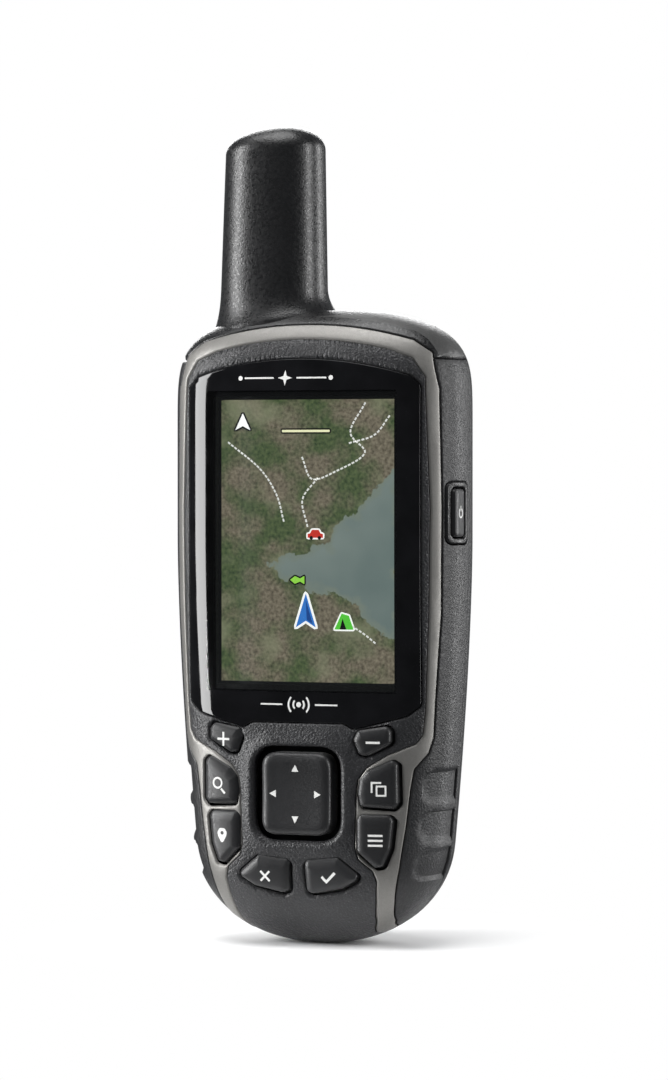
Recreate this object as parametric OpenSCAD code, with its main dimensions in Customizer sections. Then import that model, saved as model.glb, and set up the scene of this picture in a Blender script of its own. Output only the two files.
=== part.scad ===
// Rugged handheld satellite navigator with a stub antenna, a portrait display,
// nine front keys and a two-cell battery bay behind a latched door.
// Millimetres. X is to the viewer's right, Y runs into the back, Z points up along the antenna.
// The origin is below the centre of the bounding box, at its lowest level.

/* [Case] */
// Half of the width at the widest level
case_half_w = 29.8; // [28:0.1:31]
// Height of the case without the antenna
case_top = 124.1; // [123:0.1:126]
// Depth from the widest line to the front crown
front_depth = 14; // [13.8:0.1:14.4]
// Depth from the widest line to the rear crown
rear_depth = 17; // [16.8:0.1:17.4]
// Narrowing of each side at the foot
foot_narrowing = 3.6; // [3:0.1:4]
// Wall of the front case
front_wall = 2.2; // [2:0.1:2.4]
// Wall of the rear case
rear_wall = 2; // [1.8:0.1:2.2]
// Distance from the overall centre plane to the widest line, towards the front
axis_offset = 2.3; // [2.2:0.1:2.4]

/* [Antenna] */
// Overall height with the antenna
overall_h = 160; // [158:0.5:164]
// Half width of the antenna above its foot
antenna_half_w = 10.45; // [10:0.05:10.8]
// Depth of the antenna divided by its width
antenna_flatness = 0.79; // [0.75:0.01:0.82]
// Sideways place of the antenna, to the left of the centre
antenna_left = 12.1; // [11.8:0.1:12.4]
// Wall of the antenna housing
antenna_wall = 1.6; // [1.4:0.1:1.8]

/* [Display] */
// Width of the picture
picture_w = 36.3; // [36:0.1:36.6]
// Height of the picture
picture_h = 54.8; // [54:0.1:55.2]
// Level of the middle of the picture
picture_z = 78.7; // [78.4:0.1:79]
// Half width of the display window
window_half_w = 24.2; // [24:0.1:24.4]
// Thickness of the display window
window_t = 1.4; // [1.2:0.1:1.5]

/* [Keys] */
// Gap around each key
key_gap = 0.3; // [0.25:0.05:0.35]
// Height of a key above the case
key_proud = 0.8; // [0.6:0.1:1]
// Level of the middle of the rocker
rocker_z = 30; // [29.8:0.1:30.2]
// Width of the rocker pad
rocker_w = 14.4; // [14:0.1:14.8]
// Height of the rocker pad
rocker_h = 15.9; // [15.6:0.1:16.2]

/* [Battery bay] */
// Diameter of a cell
cell_d = 14.3; // [14:0.1:14.4]
// Length of a cell with its contact nub
cell_l = 50.5; // [50:0.1:50.6]
// Half of the inner width of the bay
bay_half_w = 15.2; // [15.1:0.1:15.3]
// Lowest level of the bay
bay_z0 = 24; // [23.9:0.1:24.1]
// Highest level of the bay
bay_z1 = 79; // [78.9:0.1:79.1]
// Half width of the battery door
door_half_w = 18.3; // [18.1:0.1:18.5]
// Thickness of the battery door
door_t = 1.5; // [1.4:0.1:1.6]

/* [Ports] */
// Radius of the external antenna socket
jack_r = 1.75; // [1.7:0.05:1.8]
// Level of the external antenna socket
jack_z = 109; // [108.8:0.1:109.2]
// Sideways place of the external antenna socket
jack_x = 9; // [8.8:0.1:9.2]

/* [Hidden] */

case_black = [0.09, 0.09, 0.10];
rubber_black = [0.06, 0.06, 0.065];
silver_paint = [0.55, 0.54, 0.52];
steel = [0.75, 0.75, 0.76];
gold = [0.83, 0.68, 0.35];
board_green = [0.05, 0.30, 0.16];

round_fn = 48;
axis_y = -axis_offset;
split_y = -1;
mid_z = case_top / 2;
foot_z = 20;
shoulder_z = 100;
waist_z = 79;
front_power = 2.9;
rear_power = 2.3;
ring_n = 28;
antenna_n = 24;
sliver = 0.01;
far_y = 30;
top_seam_z = 113.8;
top_seam_y = 2;
fit_gap = 0.1;
bezel_depth = 1;
grip_depth = 1.2;

antenna_x = -antenna_left;
antenna_y = -0.3;
antenna_foot_z = 112;

lcd_front_y = -11.2;
lcd_t = 1.6;
board_front_y = -7.3;
board_t = 1;
board_back_y = board_front_y + board_t;
board_half_w = 18.4;
membrane_t = 0.8;
dome_t = 0.3;
key_flange_y = -9.9;
key_back_y = -9.3;
key_lip = 0.5;

rocker_face_y = -18;
pivot_y = -9.9;
pivot_r = 0.9;
pivot_reach = 3.2;

cell_x = 7.6;
cell_y = 4.7;
bay_floor_y = -2.9;
bay_wall = 1.2;
bay_block_w = 19.3;
ledge_y = 9.3;
seal_t = 0.7;

door_gap = 0.3;
door_z0 = 8;
door_z1 = 82.6;
hinge_y = 13;
hinge_z = 83.6;
hinge_bead_r = 1.3;
hinge_pin_r = 0.8;
scoop_r = 2.4;
scoop_half_w = 13.2;

latch_z = 19.5;
latch_disc_r = 9.2;
latch_well_r = 9.5;
latch_boss_r = 10.6;
latch_boss_y = 12;
latch_floor_y = 13.2;
latch_face_y = 15.2;
shaft_r = 3;
ring_pivot_y = 16.6;
ring_pivot_z = 22.5;
ring_wire_r = 1.1;
ring_r = 7.4;

spine_half_w = 9.5;
spine_face_y = 18;
spine_z0 = 33;
spine_z1 = 79.6;

screw_places = [[23, 102], [-23, 102], [22.8, 45], [-22.8, 45]];
screw_head_y = 6;
screw_boss_r = 2.4;

button_y = -6;
button_z = 84.2;
collar_face_x = 29.9;
usb_x = 4;
usb_z = 94.6;
usb_cap_half_w = 8;
usb_cap_z0 = 89;
usb_hinge_y = 13;
usb_hinge_z = 99.4;
jack_face_y = 11;
jack_hinge_x = 3.4;
jack_hinge_y = 12.4;
jack_pocket_r = 4.6;
usb_pocket_top = 101.1;

// Superellipse quarter: 1 at the wide end, closing to a small blunt tip at t = 1.
function dome(t, flat, curl) = max(0.02, pow(max(0, 1 - pow(max(0, t), flat)), 1 / curl));
function foot_t(z) = (foot_z - z) / foot_z;
function shoulder_t(z) = (z - shoulder_z) / (case_top - shoulder_z);
function side_line(z) = case_half_w - foot_narrowing * pow(max(0, (waist_z - z) / (waist_z - foot_z)), 1.6);
function half_w(z) = side_line(z) * dome(foot_t(z), 2.2, 2.2) * dome(shoulder_t(z), 4.8, 2.1);
function depth_share(z) = dome(foot_t(z), 2.4, 2.4) * dome(shoulder_t(z), 3.4, 2);
function signed_pow(v, p) = sign(v) * pow(abs(v), p);
function shrunk(size, inset) = (size - inset) / size;

LEVELS = concat([for (a = [0 : 17 : 85]) foot_z * (1 - cos(a))], [30, 50, waist_z],
    [for (a = [0 : 17 : 85]) shoulder_z + (case_top - shoulder_z) * sin(a)], [case_top]);

// The skin at level z of the uninset case, moved inwards by inset.
function case_ring(z, inset) = [for (i = [0 : ring_n - 1])
    let (a = 360 * i / ring_n, p = 2 / (sin(a) < 0 ? front_power : rear_power),
        depth = sin(a) < 0 ? front_depth : rear_depth)
    [half_w(z) * shrunk(case_half_w, inset) * signed_pow(cos(a), p),
        axis_y + depth_share(z) * (depth - inset) * signed_pow(sin(a), p),
        mid_z + (z - mid_z) * shrunk(mid_z, inset)]];

// Solid between each ring and the next one above it. Each pair of rings is convex.
module loft(rings)
    for (i = [0 : len(rings) - 2])
        hull()
            polyhedron(points = concat(rings[i], rings[i + 1]),
                faces = [[for (k = [0 : 2 * len(rings[i]) - 1]) k]]);

// The case as one solid, its skin moved inwards by inset.
module case_form(inset = 0) loft([for (z = LEVELS) case_ring(z, inset)]);

// A flat outline in X and Z, carried from one Y to another.
module along_y(y0, y1)
    translate([0, y1, 0])
        rotate([90, 0, 0])
            linear_extrude(y1 - y0)
                children();

// A flat outline in Y and Z, carried from one X to another.
module along_x(x0, x1)
    translate([x0, 0, 0])
        rotate([90, 0, 90])
            linear_extrude(x1 - x0)
                children();

module rounded(r)
    offset(r = r)
        offset(r = -2 * r)
            offset(r = r)
                children();

module box(x, y, z)
    translate([x[0], y[0], z[0]])
        cube([x[1] - x[0], y[1] - y[0], z[1] - z[0]]);

module rod_y(x, z, r, y0, y1)
    translate([x, y1, z])
        rotate([90, 0, 0])
            cylinder(h = y1 - y0, r = r, $fn = round_fn);

module rod_x(y, z, r, x0, x1)
    translate([x0, y, z])
        rotate([0, 90, 0])
            cylinder(h = x1 - x0, r = r, $fn = round_fn);

// A rounded rectangle from plain squares and circles.
module soft_rect(half_w, half_h, r) {
    square([2 * half_w, 2 * (half_h - r)], center = true);
    square([2 * (half_w - r), 2 * half_h], center = true);
    for (x = [-1, 1])
        for (z = [-1, 1])
            translate([x * (half_w - r), z * (half_h - r)])
                circle(r = r, $fn = round_fn);
}

// Outlines in X and Z. Each list is the right half, from the top centre down.
function both_sides(half) = concat(half, [for (i = [len(half) - 1 : -1 : 0]) [-half[i][0], half[i][1]]]);
function crown(top, sag_r, reach) = [for (x = [0 : reach / 8 : reach]) [x, top - sag_r + sqrt(sag_r * sag_r - x * x)]];

window_edge = concat(crown(114, 75, 22.4), [[window_half_w, 108.6], [window_half_w, 47.2],
    [21.6, 45.2], [11.6, 42.6], [9.6, 43.7]]);
bezel_outer_edge = concat(crown(120.6, 78, 22), [[25.6, 115], [27.2, 108], [27.6, 85], [27.4, 65],
    [26.3, 48], [25.9, 41], [25.1, 38], [22.8, 35], [22.2, 31.5], [21.3, 24], [20, 16], [18, 9], [15.4, 3]]);
bezel_inner_edge = concat(crown(117.8, 77, 18), [[22.5, 114], [25, 110.3], [25.9, 85], [25.6, 65],
    [24.9, 46], [24.4, 41.5], [23.2, 39.8], [18, 37.6], [14.2, 35.2], [12.5, 33], [12.1, 30.5],
    [11.8, 20], [12.4, 17.6], [15.2, 15.3], [15.8, 13.2], [15.2, 9], [13.4, 2]]);
zoom_edge = [[18.4, 43.1], [19.3, 42.2], [19.3, 39.9], [14.2, 37.3], [12.9, 37.7], [11.8, 40.4], [12.7, 42.2]];
upper_edge = [[19.4, 36.6], [20.5, 35.8], [20.6, 28.2], [19.6, 27.1], [13.2, 27.5], [12.7, 30], [13.1, 32.8],
    [14.6, 34.4]];
lower_edge = [[18.8, 25.9], [19.6, 25], [19, 19.5], [17.5, 15.9], [16, 15.6], [12.5, 18.8], [12.5, 25],
    [13.2, 25.9]];
end_edge = [[2.3, 16.8], [8.4, 17.4], [12.6, 14.1], [12.2, 13.1], [9.2, 11.4], [3.2, 10.2], [1.8, 10.8],
    [1.6, 16.2]];
board_edge = [[14, 9], [board_half_w, 16], [board_half_w, 79], [22.6, 80], [22.6, 89], [board_half_w, 90],
    [board_half_w, 114], [15, 117], [-15, 117], [-board_half_w, 114], [-board_half_w, 16], [-14, 9]];

KEY_EDGES = [zoom_edge, upper_edge, lower_edge, end_edge];
KEY_CENTRES = [[15.6, 40.2], [16.7, 31.6], [16, 21.2], [6.4, 13.9]];

module key_shape(i, side, grow = 0)
    mirror([side < 0 ? 1 : 0, 0])
        offset(r = grow)
            rounded(0.6)
                polygon(KEY_EDGES[i]);
module window_shape(grow = 0) offset(r = grow) rounded(1) polygon(both_sides(window_edge));
module bezel_outer(grow = 0) offset(r = grow) rounded(0.8) polygon(both_sides(bezel_outer_edge));
module bezel_inner(grow = 0) offset(r = grow) rounded(0.8) polygon(both_sides(bezel_inner_edge));
module well_shape() translate([0, rocker_z]) soft_rect(rocker_w / 2 + 1.8, rocker_h / 2 + 1.2, 4.6);
module picture_opening() translate([0, picture_z]) square([picture_w + 4.6, picture_h + 4.6], center = true);
module door_shape(grow = 0)
    translate([0, (door_z0 + door_z1) / 2])
        offset(r = grow)
            soft_rect(door_half_w, (door_z1 - door_z0) / 2, 4);
module collar_shape(grow = 0) translate([button_y, button_z]) soft_rect(3.7 + grow, 6 + grow, 1.6 + grow);

module all_keys(grow) {
    for (i = [0 : 3])
        for (side = [-1, 1])
            key_shape(i, side, grow);
}

// Zone of the top housing: above the side seams and outside the silver loop.
module top_zone()
    difference() {
        box([-40, 40], [-far_y, top_seam_y], [top_seam_z, 130]);
        along_y(-far_y, -4) bezel_outer(fit_gap);
    }

// Zone of the two side grips.
module grip_zone()
    difference() {
        box([-40, 40], [-far_y, split_y], [4, top_seam_z]);
        along_y(-far_y, 0) bezel_outer(fit_gap / 2);
        box([-14.5, 14.5], [-far_y, 0], [0, 20]);
    }

// Elliptical stub that flares at its foot, its skin moved inwards by inset.
ANTENNA_LEVELS = concat([112, 116, 120, 124, 128, 150], [for (a = [0 : 18 : 72]) overall_h - 5 + 5 * sin(a)],
    [overall_h]);
function antenna_w(z) = antenna_half_w * (1.005 - 0.05 * (z - antenna_foot_z) / (overall_h - antenna_foot_z))
    + 1.3 * pow(max(0, (127 - z) / 15), 2);
function antenna_ring(z, inset) = [for (i = [0 : antenna_n - 1])
    let (a = 360 * i / antenna_n, w = (antenna_w(z) - inset) * dome((z - overall_h + 5) / 5, 2, 2.4))
    [antenna_x + w * signed_pow(cos(a), 0.9), antenna_y + w * antenna_flatness * signed_pow(sin(a), 0.9),
        z >= 150 ? z - inset : z]];
module antenna_form(inset = 0) loft([for (z = ANTENNA_LEVELS) antenna_ring(z, inset)]);

module front_case()
    color(case_black)
    difference() {
        union() {
            difference() {
                case_form();
                case_form(front_wall);
            }
            for (p = screw_places)
                rod_y(p[0], p[1], screw_boss_r, -11, split_y);
        }
        box([-40, 40], [split_y, far_y], [-1, 130]);
        top_zone();
        difference() {
            grip_zone();
            case_form(grip_depth);
        }
        difference() {
            along_y(-far_y, 0)
                difference() {
                    bezel_outer(fit_gap);
                    bezel_inner(-fit_gap);
                }
            case_form(bezel_depth + fit_gap);
        }
        difference() {
            along_y(-far_y, 0) window_shape(0.15);
            case_form(window_t + fit_gap);
        }
        along_y(-far_y, -5) picture_opening();
        along_y(-far_y, -9) all_keys(key_gap);
        along_y(-far_y, -9) well_shape();
        along_x(20, 40) collar_shape(fit_gap);
        for (p = screw_places)
            rod_y(p[0], p[1], 1.3, -5, 0);
    }

module silver_bezel()
    color(silver_paint)
    difference() {
        intersection() {
            case_form(-0.1);
            along_y(-far_y, split_y - fit_gap)
                difference() {
                    bezel_outer();
                    bezel_inner();
                }
        }
        case_form(bezel_depth);
        along_y(-far_y, 0) all_keys(key_gap);
        along_x(20, 40) collar_shape(fit_gap);
    }

// Soft side strip with three shallow thumb pads near the foot.
module side_grip(side)
    color(rubber_black)
    difference() {
        intersection() {
            case_form();
            grip_zone();
            box([side > 0 ? 0 : -40, side > 0 ? 40 : 0], [-far_y, 0], [0, 130]);
        }
        case_form(grip_depth - fit_gap);
        if (side > 0)
            along_x(20, 40) collar_shape(fit_gap);
        difference() {
            along_x(side > 0 ? 0 : -40, side > 0 ? 40 : 0)
                for (z = [16.4, 23.8, 31.6])
                    translate([-6, z]) soft_rect(5, 2.9, 2);
            case_form(0.5);
        }
    }
module side_grip_left() side_grip(-1);
module side_grip_right() side_grip(1);

module antenna_housing()
    color(case_black)
    difference() {
        union() {
            intersection() {
                case_form();
                top_zone();
            }
            antenna_form();
        }
        case_form(front_wall);
        antenna_form(antenna_wall);
        along_y(-far_y, -4) bezel_outer(fit_gap);
    }

// Pocket behind the rear skin where a port cap lies, with the block that carries it.
module usb_pocket() {
    box([usb_x - usb_cap_half_w - 0.3, usb_x + usb_cap_half_w + 0.3], [12.2, far_y], [usb_cap_z0 - 0.3, usb_pocket_top]);
    box([usb_x - 4.1, usb_x + 4.1], [0, far_y], [usb_z - 2.3, usb_z + 2.3]);
}
module jack_pocket() {
    rod_y(jack_x, jack_z, jack_pocket_r, jack_face_y, far_y);
    box([jack_hinge_x - 1.7, jack_x], [jack_face_y, far_y], [jack_z - jack_pocket_r, jack_z + jack_pocket_r]);
    rod_y(jack_x, jack_z, 2.7, 0, far_y);
}

module rear_case()
    color(case_black)
    difference() {
        intersection() {
            case_form();
            union() {
                difference() {
                    box([-40, 40], [split_y, far_y], [-1, 130]);
                    box([-40, 40], [-far_y, top_seam_y + fit_gap], [top_seam_z, 130]);
                    case_form(rear_wall);
                }
                box([-bay_block_w, bay_block_w], [split_y, ledge_y], [5, hinge_z]);
                box([-bay_block_w, bay_block_w], [bay_floor_y - bay_wall, split_y + sliver], [bay_z0 - 2, hinge_z]);
                box([-bay_block_w, bay_block_w], [split_y, far_y], [bay_z1, hinge_z + 3.6]);
                box([usb_x - 10, usb_x + 10], [8.5, far_y], [87, 102.2]);
                box([jack_hinge_x - 2.6, jack_x + 6], [7.5, far_y], [102, 115]);
                for (p = screw_places)
                    rod_y(p[0], p[1], screw_boss_r, split_y, far_y);
            }
        }
        difference() {
            along_y(-2, far_y) door_shape();
            case_form(1.9);
        }
        along_y(ledge_y, far_y) door_shape();
        box([-bay_half_w, bay_half_w], [bay_floor_y, far_y], [bay_z0, bay_z1]);
        box([-13.8, 13.8], [6.6, far_y], [5.6, bay_z0 - bay_wall]);
        box([-3.2, 3.2], [6.6, far_y], [5.4, door_z0 + 1]);
        box([-9, 9], [-far_y, -2], [44, 66]);
        rod_x(hinge_y, hinge_z, scoop_r, -scoop_half_w, scoop_half_w);
        rod_x(hinge_y, hinge_z, hinge_pin_r + 0.07, -16, 16);
        usb_pocket();
        jack_pocket();
        antenna_form(-0.2);
        for (p = screw_places) {
            rod_y(p[0], p[1], 1.3, -2, far_y);
            rod_y(p[0], p[1], 2.5, screw_head_y, far_y);
        }
        along_y(split_y - sliver, split_y + 0.8) seal_track(0);
    }

// Track of the seal between the two cases.
module case_outline(inset)
    offset(delta = -inset)
        polygon(concat([for (z = LEVELS) [half_w(z), z]], [for (i = [len(LEVELS) - 1 : -1 : 0]) [-half_w(LEVELS[i]), LEVELS[i]]]));
module seal_track(slack)
    intersection() {
        difference() {
            case_outline(0.8 + slack);
            case_outline(1.5 - slack);
        }
        translate([-40, 0]) square([80, top_seam_z - 1 - slack]);
    }
module case_seal() color([0.2, 0.2, 0.2]) along_y(split_y, split_y + 0.7) seal_track(0.05);

module display_window()
    color([0.02, 0.02, 0.03])
    difference() {
        intersection() {
            case_form();
            along_y(-far_y, 0) window_shape();
        }
        case_form(window_t);
    }

module display_gasket()
    color([0.1, 0.1, 0.1])
    along_y(-12.2, lcd_front_y)
        translate([0, picture_z])
            difference() {
                square([picture_w + 4.2, picture_h + 4.2], center = true);
                square([picture_w + 1.2, picture_h + 1.2], center = true);
            }

module lcd_panel()
    color([0.35, 0.42, 0.36])
    box([-19.6, 19.6], [lcd_front_y, lcd_front_y + lcd_t], [47.6, 108]);

module backlight_frame()
    color([0.85, 0.85, 0.86])
    difference() {
        box([-20.1, 20.1], [-10.9, board_front_y - 0.1], [47, 108.6]);
        box([-19.7, 19.7], [-12, lcd_front_y + lcd_t], [47.5, 108.1]);
    }

module keypad_membrane()
    color([0.3, 0.3, 0.32])
    along_y(board_front_y - dome_t - membrane_t, board_front_y - dome_t)
        difference() {
            polygon([[-14, 9], [14, 9], [board_half_w, 16], [board_half_w, 43.5], [-board_half_w, 43.5],
                [-board_half_w, 16]]);
            translate([0, rocker_z]) square(9.4, center = true);
        }

module dome_sheet()
    color(steel) {
        for (c = KEY_CENTRES)
            for (side = [-1, 1])
                rod_y(side * c[0], c[1], 1.9, board_front_y - dome_t, board_front_y);
        for (a = [0 : 90 : 270])
            rod_y(6.6 * cos(a), rocker_z + 6.6 * sin(a), 1.6, board_front_y - dome_t, board_front_y);
    }

module main_board()
    color(board_green)
    difference() {
        along_y(board_front_y, board_back_y) polygon(board_edge);
        for (x = [-15.5, 15.5])
            for (z = [46, 111])
                rod_y(x, z, 1.05, -20, 0);
    }

module shield_cans()
    color(steel)
    for (place = [[-15, -1, 86, 104], [1, 13, 90, 104], [-8, 8, 67, 80]])
        box([place[0], place[1]], [board_back_y, board_back_y + 1.8], [place[2], place[3]]);

module io_board() color(board_green) box([-4, 19], [2, 3], [88.5, 116]);

module board_link()
    color([0.9, 0.88, 0.8])
    box([14.2, 17.2], [board_back_y, 2], [92, 106]);

module antenna_core()
    color([0.82, 0.72, 0.55])
    difference() {
        translate([antenna_x, antenna_y, 121]) cylinder(h = 33, r = 6, $fn = round_fn);
        translate([antenna_x, antenna_y, 122.5]) cylinder(h = 33, r = 4.8, $fn = round_fn);
    }

module antenna_cable()
    color(gold) {
        translate([antenna_x, antenna_y, 110]) cylinder(h = 11, r = 0.7, $fn = round_fn);
        translate([antenna_x, antenna_y, 110]) sphere(r = 0.7, $fn = round_fn);
        rod_y(antenna_x, 110, 0.7, board_back_y, antenna_y);
    }

module antenna_jack()
    color(gold)
    difference() {
        union() {
            rod_y(jack_x, jack_z, 2.6, 3, jack_face_y);
            box([jack_x - 3, jack_x + 3], [3, 5], [jack_z - 3, jack_z + 3]);
        }
        rod_y(jack_x, jack_z, jack_r, jack_face_y - 5, jack_face_y + 1);
    }

module usb_connector()
    color(steel)
    difference() {
        box([usb_x - 3.9, usb_x + 3.9], [3, 12], [usb_z - 2, usb_z + 2]);
        box([usb_x - 3.5, usb_x + 3.5], [6, 13], [usb_z - 1.6, usb_z + 1.6]);
    }

module power_switch()
    color([0.8, 0.8, 0.75]) {
        box([20.6, 24], [board_back_y, board_back_y + 2.2], [81, 87.4]);
        rod_x(board_back_y + 1.1, button_z, 0.9, 24, 24.2);
    }

module power_button_collar()
    color(rubber_black)
    difference() {
        intersection() {
            along_x(25.8, 31) collar_shape();
            translate([0, 0, button_z])
                linear_extrude(20, center = true)
                    polygon([[25, -9.8], [28.5, -9.8], [collar_face_x, -5.6], [collar_face_x, -2.2], [25, -2.2]]);
        }
        along_x(20, 40) translate([button_y, button_z]) soft_rect(2.6, 4.9, 1.2);
    }

module power_button()
    color(rubber_black) {
        along_x(24.9, 29.8) translate([button_y, button_z]) soft_rect(2.3, 4.6, 1);
        along_x(24.9, 25.5) translate([button_y, button_z]) soft_rect(2.9, 5.2, 1);
    }

module beeper()
    color([0.15, 0.15, 0.16])
    difference() {
        rod_y(8, 111, 4.5, board_back_y, board_back_y + 1.9);
        rod_y(8, 111, 0.8, board_back_y + 1, board_back_y + 3);
    }

module card_socket()
    color(steel)
    difference() {
        box([-7.5, 7.5], [board_back_y, -3.1], [47.5, 62.5]);
        box([-5.7, 5.7], [-4.9, -3.5], [40, 61.5]);
        box([-4, 4], [-4, -2], [45, 58]);
    }

module memory_card() color([0.08, 0.08, 0.09]) box([-5.5, 5.5], [-4.8, -3.8], [46.4, 61.4]);

// Conical contact coil as three stacked turns.
module coil_turns(x, z, way)
    for (i = [0 : 2])
        translate([x, cell_y, z + way * (0.58 + 0.95 * i)])
            rotate_extrude($fn = round_fn)
                translate([4 - 0.45 * i, 0])
                    circle(r = 0.55, $fn = 16);
module contact_springs()
    color(steel) {
        coil_turns(-cell_x, bay_z0, 1);
        coil_turns(cell_x, bay_z1, -1);
    }

module contact_plates()
    color(steel) {
        box([-cell_x - 4, -cell_x + 4], [cell_y - 4.5, cell_y + 4.5], [bay_z1 - 0.5, bay_z1]);
        box([cell_x - 4, cell_x + 4], [cell_y - 4.5, cell_y + 4.5], [bay_z0, bay_z0 + 0.5]);
    }

module cell(x, z, turn)
    color([0.75, 0.45, 0.15])
    translate([x, cell_y, z])
        rotate([turn, 0, 0])
            rotate_extrude($fn = round_fn)
                polygon([[0, 0], [cell_d / 2 - 0.5, 0], [cell_d / 2, 0.5], [cell_d / 2, cell_l - 2],
                    [cell_d / 2 - 0.7, cell_l - 1.2], [2.7, cell_l - 1.2], [2.7, cell_l], [0, cell_l]]);
module aa_cell_left() cell(-cell_x, bay_z1 - 0.7 - cell_l, 0);
module aa_cell_right() cell(cell_x, bay_z0 + 0.7 + cell_l, 180);

module door_seal()
    color([0.25, 0.25, 0.26])
    along_y(ledge_y, ledge_y + seal_t)
        translate([0, (bay_z0 + bay_z1) / 2])
            difference() {
                square([2 * bay_half_w + 2.2, bay_z1 - bay_z0 + 2.2], center = true);
                square([2 * bay_half_w + 0.4, bay_z1 - bay_z0 + 0.4], center = true);
            }

module case_screws()
    color(steel)
    for (p = screw_places)
        difference() {
            union() {
                rod_y(p[0], p[1], 2.3, screw_head_y, screw_head_y + 1.3);
                rod_y(p[0], p[1], 1.2, -4.5, screw_head_y);
            }
            for (turn = [0, 60, 120])
                translate([p[0], screw_head_y + 1.3, p[1]])
                    rotate([0, turn, 0])
                        cube([2.4, 1.4, 0.5], center = true);
        }

module board_screws()
    color(steel)
    for (x = [-15.5, 15.5])
        for (z = [46, 111]) {
            rod_y(x, z, 1.8, board_back_y, board_back_y + 0.9);
            rod_y(x, z, 1, board_front_y - 0.1, board_back_y);
        }

// Plate with two ears that carry the rocker's cross-shaped pivot.
module rocker_saddle()
    color([0.7, 0.7, 0.68])
    difference() {
        union() {
            box([-4.4, 4.4], [-8.4, board_front_y], [rocker_z - 4.4, rocker_z + 4.4]);
            for (side = [-1, 1])
                translate([side * 2.7, -9.65, rocker_z]) cube([1, 2.5, 3], center = true);
        }
        rod_x(pivot_y, rocker_z, pivot_r + 0.06, -5, 5);
    }

module rocker_pivot()
    color(steel) {
        rod_x(pivot_y, rocker_z, pivot_r, -pivot_reach, pivot_reach);
        translate([0, pivot_y, rocker_z - pivot_reach]) cylinder(h = 2 * pivot_reach, r = pivot_r, $fn = round_fn);
        rod_y(0, rocker_z, 1.4, pivot_y - 1, pivot_y + 1);
    }

module rocker_pad()
    color(rubber_black)
    difference() {
        union() {
            along_y(rocker_face_y, -13.6) translate([0, rocker_z]) soft_rect(rocker_w / 2, rocker_h / 2, 3.2);
            for (side = [-1, 1])
                translate([0, -11.6, rocker_z + side * 2.7]) cube([3, 5.2, 1], center = true);
            for (a = [0 : 90 : 270])
                rod_y(5.6 * cos(a), rocker_z + 5.6 * sin(a), 0.9, -13.7, -9.6);
        }
        translate([0, pivot_y, rocker_z - 5]) cylinder(h = 10, r = pivot_r + 0.06, $fn = round_fn);
        translate([0, rocker_face_y - 42, rocker_z]) sphere(r = 42.6, $fn = 96);
    }

// Cap that follows the case's skin, with a flange behind the wall.
module key(i, side)
    color(rubber_black) {
        intersection() {
            along_y(-far_y, key_back_y) key_shape(i, side);
            case_form(-key_proud);
        }
        along_y(key_flange_y, key_back_y) key_shape(i, side, key_lip);
    }
module key_zoom_in() key(0, -1);
module key_zoom_out() key(0, 1);
module key_find() key(1, -1);
module key_page() key(1, 1);
module key_mark() key(2, -1);
module key_menu() key(2, 1);
module key_quit() key(3, -1);
module key_enter() key(3, 1);

module battery_door()
    color(case_black)
    difference() {
        union() {
            difference() {
                intersection() {
                    case_form();
                    along_y(0, far_y) door_shape(-door_gap);
                }
                case_form(door_t);
            }
            rod_y(0, latch_z, latch_boss_r, latch_boss_y, 16.2);
            for (side = [-1, 1]) {
                rod_x(hinge_y, hinge_z, hinge_bead_r, side * 10 - 3, side * 10 + 3);
                box([side * 10 - 3, side * 10 + 3], [11.8, 13.9], [81.6, hinge_z]);
            }
        }
        rod_y(0, latch_z, latch_well_r, latch_floor_y, far_y);
        rod_y(0, latch_z, 4.05, 0, far_y);
        rod_x(hinge_y, hinge_z, hinge_pin_r, -20, 20);
        box([-spine_half_w + 1.5, spine_half_w - 1.5], [13.6, far_y], [spine_z0 + 1, spine_z1 - 1]);
        difference() {
            box([-spine_half_w - 0.05, spine_half_w + 0.05], [0, far_y], [spine_z0 - 0.05, spine_z1 + 0.05]);
            case_form(0.5);
        }
    }

module door_hinge_pins()
    color(steel)
    for (side = [-1, 1])
        rod_x(hinge_y, hinge_z, hinge_pin_r, side * 11.5 - 3.8, side * 11.5 + 3.8);

// Rail with an undercut along each side, let into the door.
module spine_rail()
    color(case_black)
    difference() {
        union() {
            box([-spine_half_w, spine_half_w], [14.2, spine_face_y], [spine_z0, spine_z1]);
            box([-spine_half_w + 1.6, spine_half_w - 1.6], [13.6, 14.4], [spine_z0 + 1.1, spine_z1 - 1.1]);
        }
        for (side = [-1, 1])
            translate([side * spine_half_w, 15.9, mid_z]) cube([2.4, 1.2, 120], center = true);
        for (z = [spine_z0 + 8 : 7.5 : spine_z1 - 6])
            box([-6, 6], [spine_face_y - 0.6, far_y], [z, z + 3]);
    }

module latch_bush()
    color([0.85, 0.8, 0.7])
    difference() {
        rod_y(0, latch_z, 4, 11.4, latch_floor_y);
        rod_y(0, latch_z, shaft_r + 0.05, 10, 15);
    }

module door_latch()
    color(case_black)
    difference() {
        union() {
            rod_y(0, latch_z, latch_disc_r, latch_floor_y + 0.2, latch_face_y);
            rod_y(0, latch_z, shaft_r, 9, latch_floor_y + 0.4);
            for (side = [-1, 1])
                translate([side * 3.4, 15.9, ring_pivot_z]) cube([2.4, 2.8, 3.2], center = true);
        }
        rod_x(ring_pivot_y, ring_pivot_z, ring_wire_r + 0.06, -20, 20);
        rod_y(0, latch_z, 0.8, 0, 12);
    }

module latch_cam()
    color(steel)
    difference() {
        union() {
            rod_y(0, latch_z, 3.2, 7.6, 9);
            box([-2.2, 2.2], [7.6, 9], [6.6, latch_z]);
        }
        rod_y(0, latch_z, 0.85, 0, 12);
    }

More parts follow.
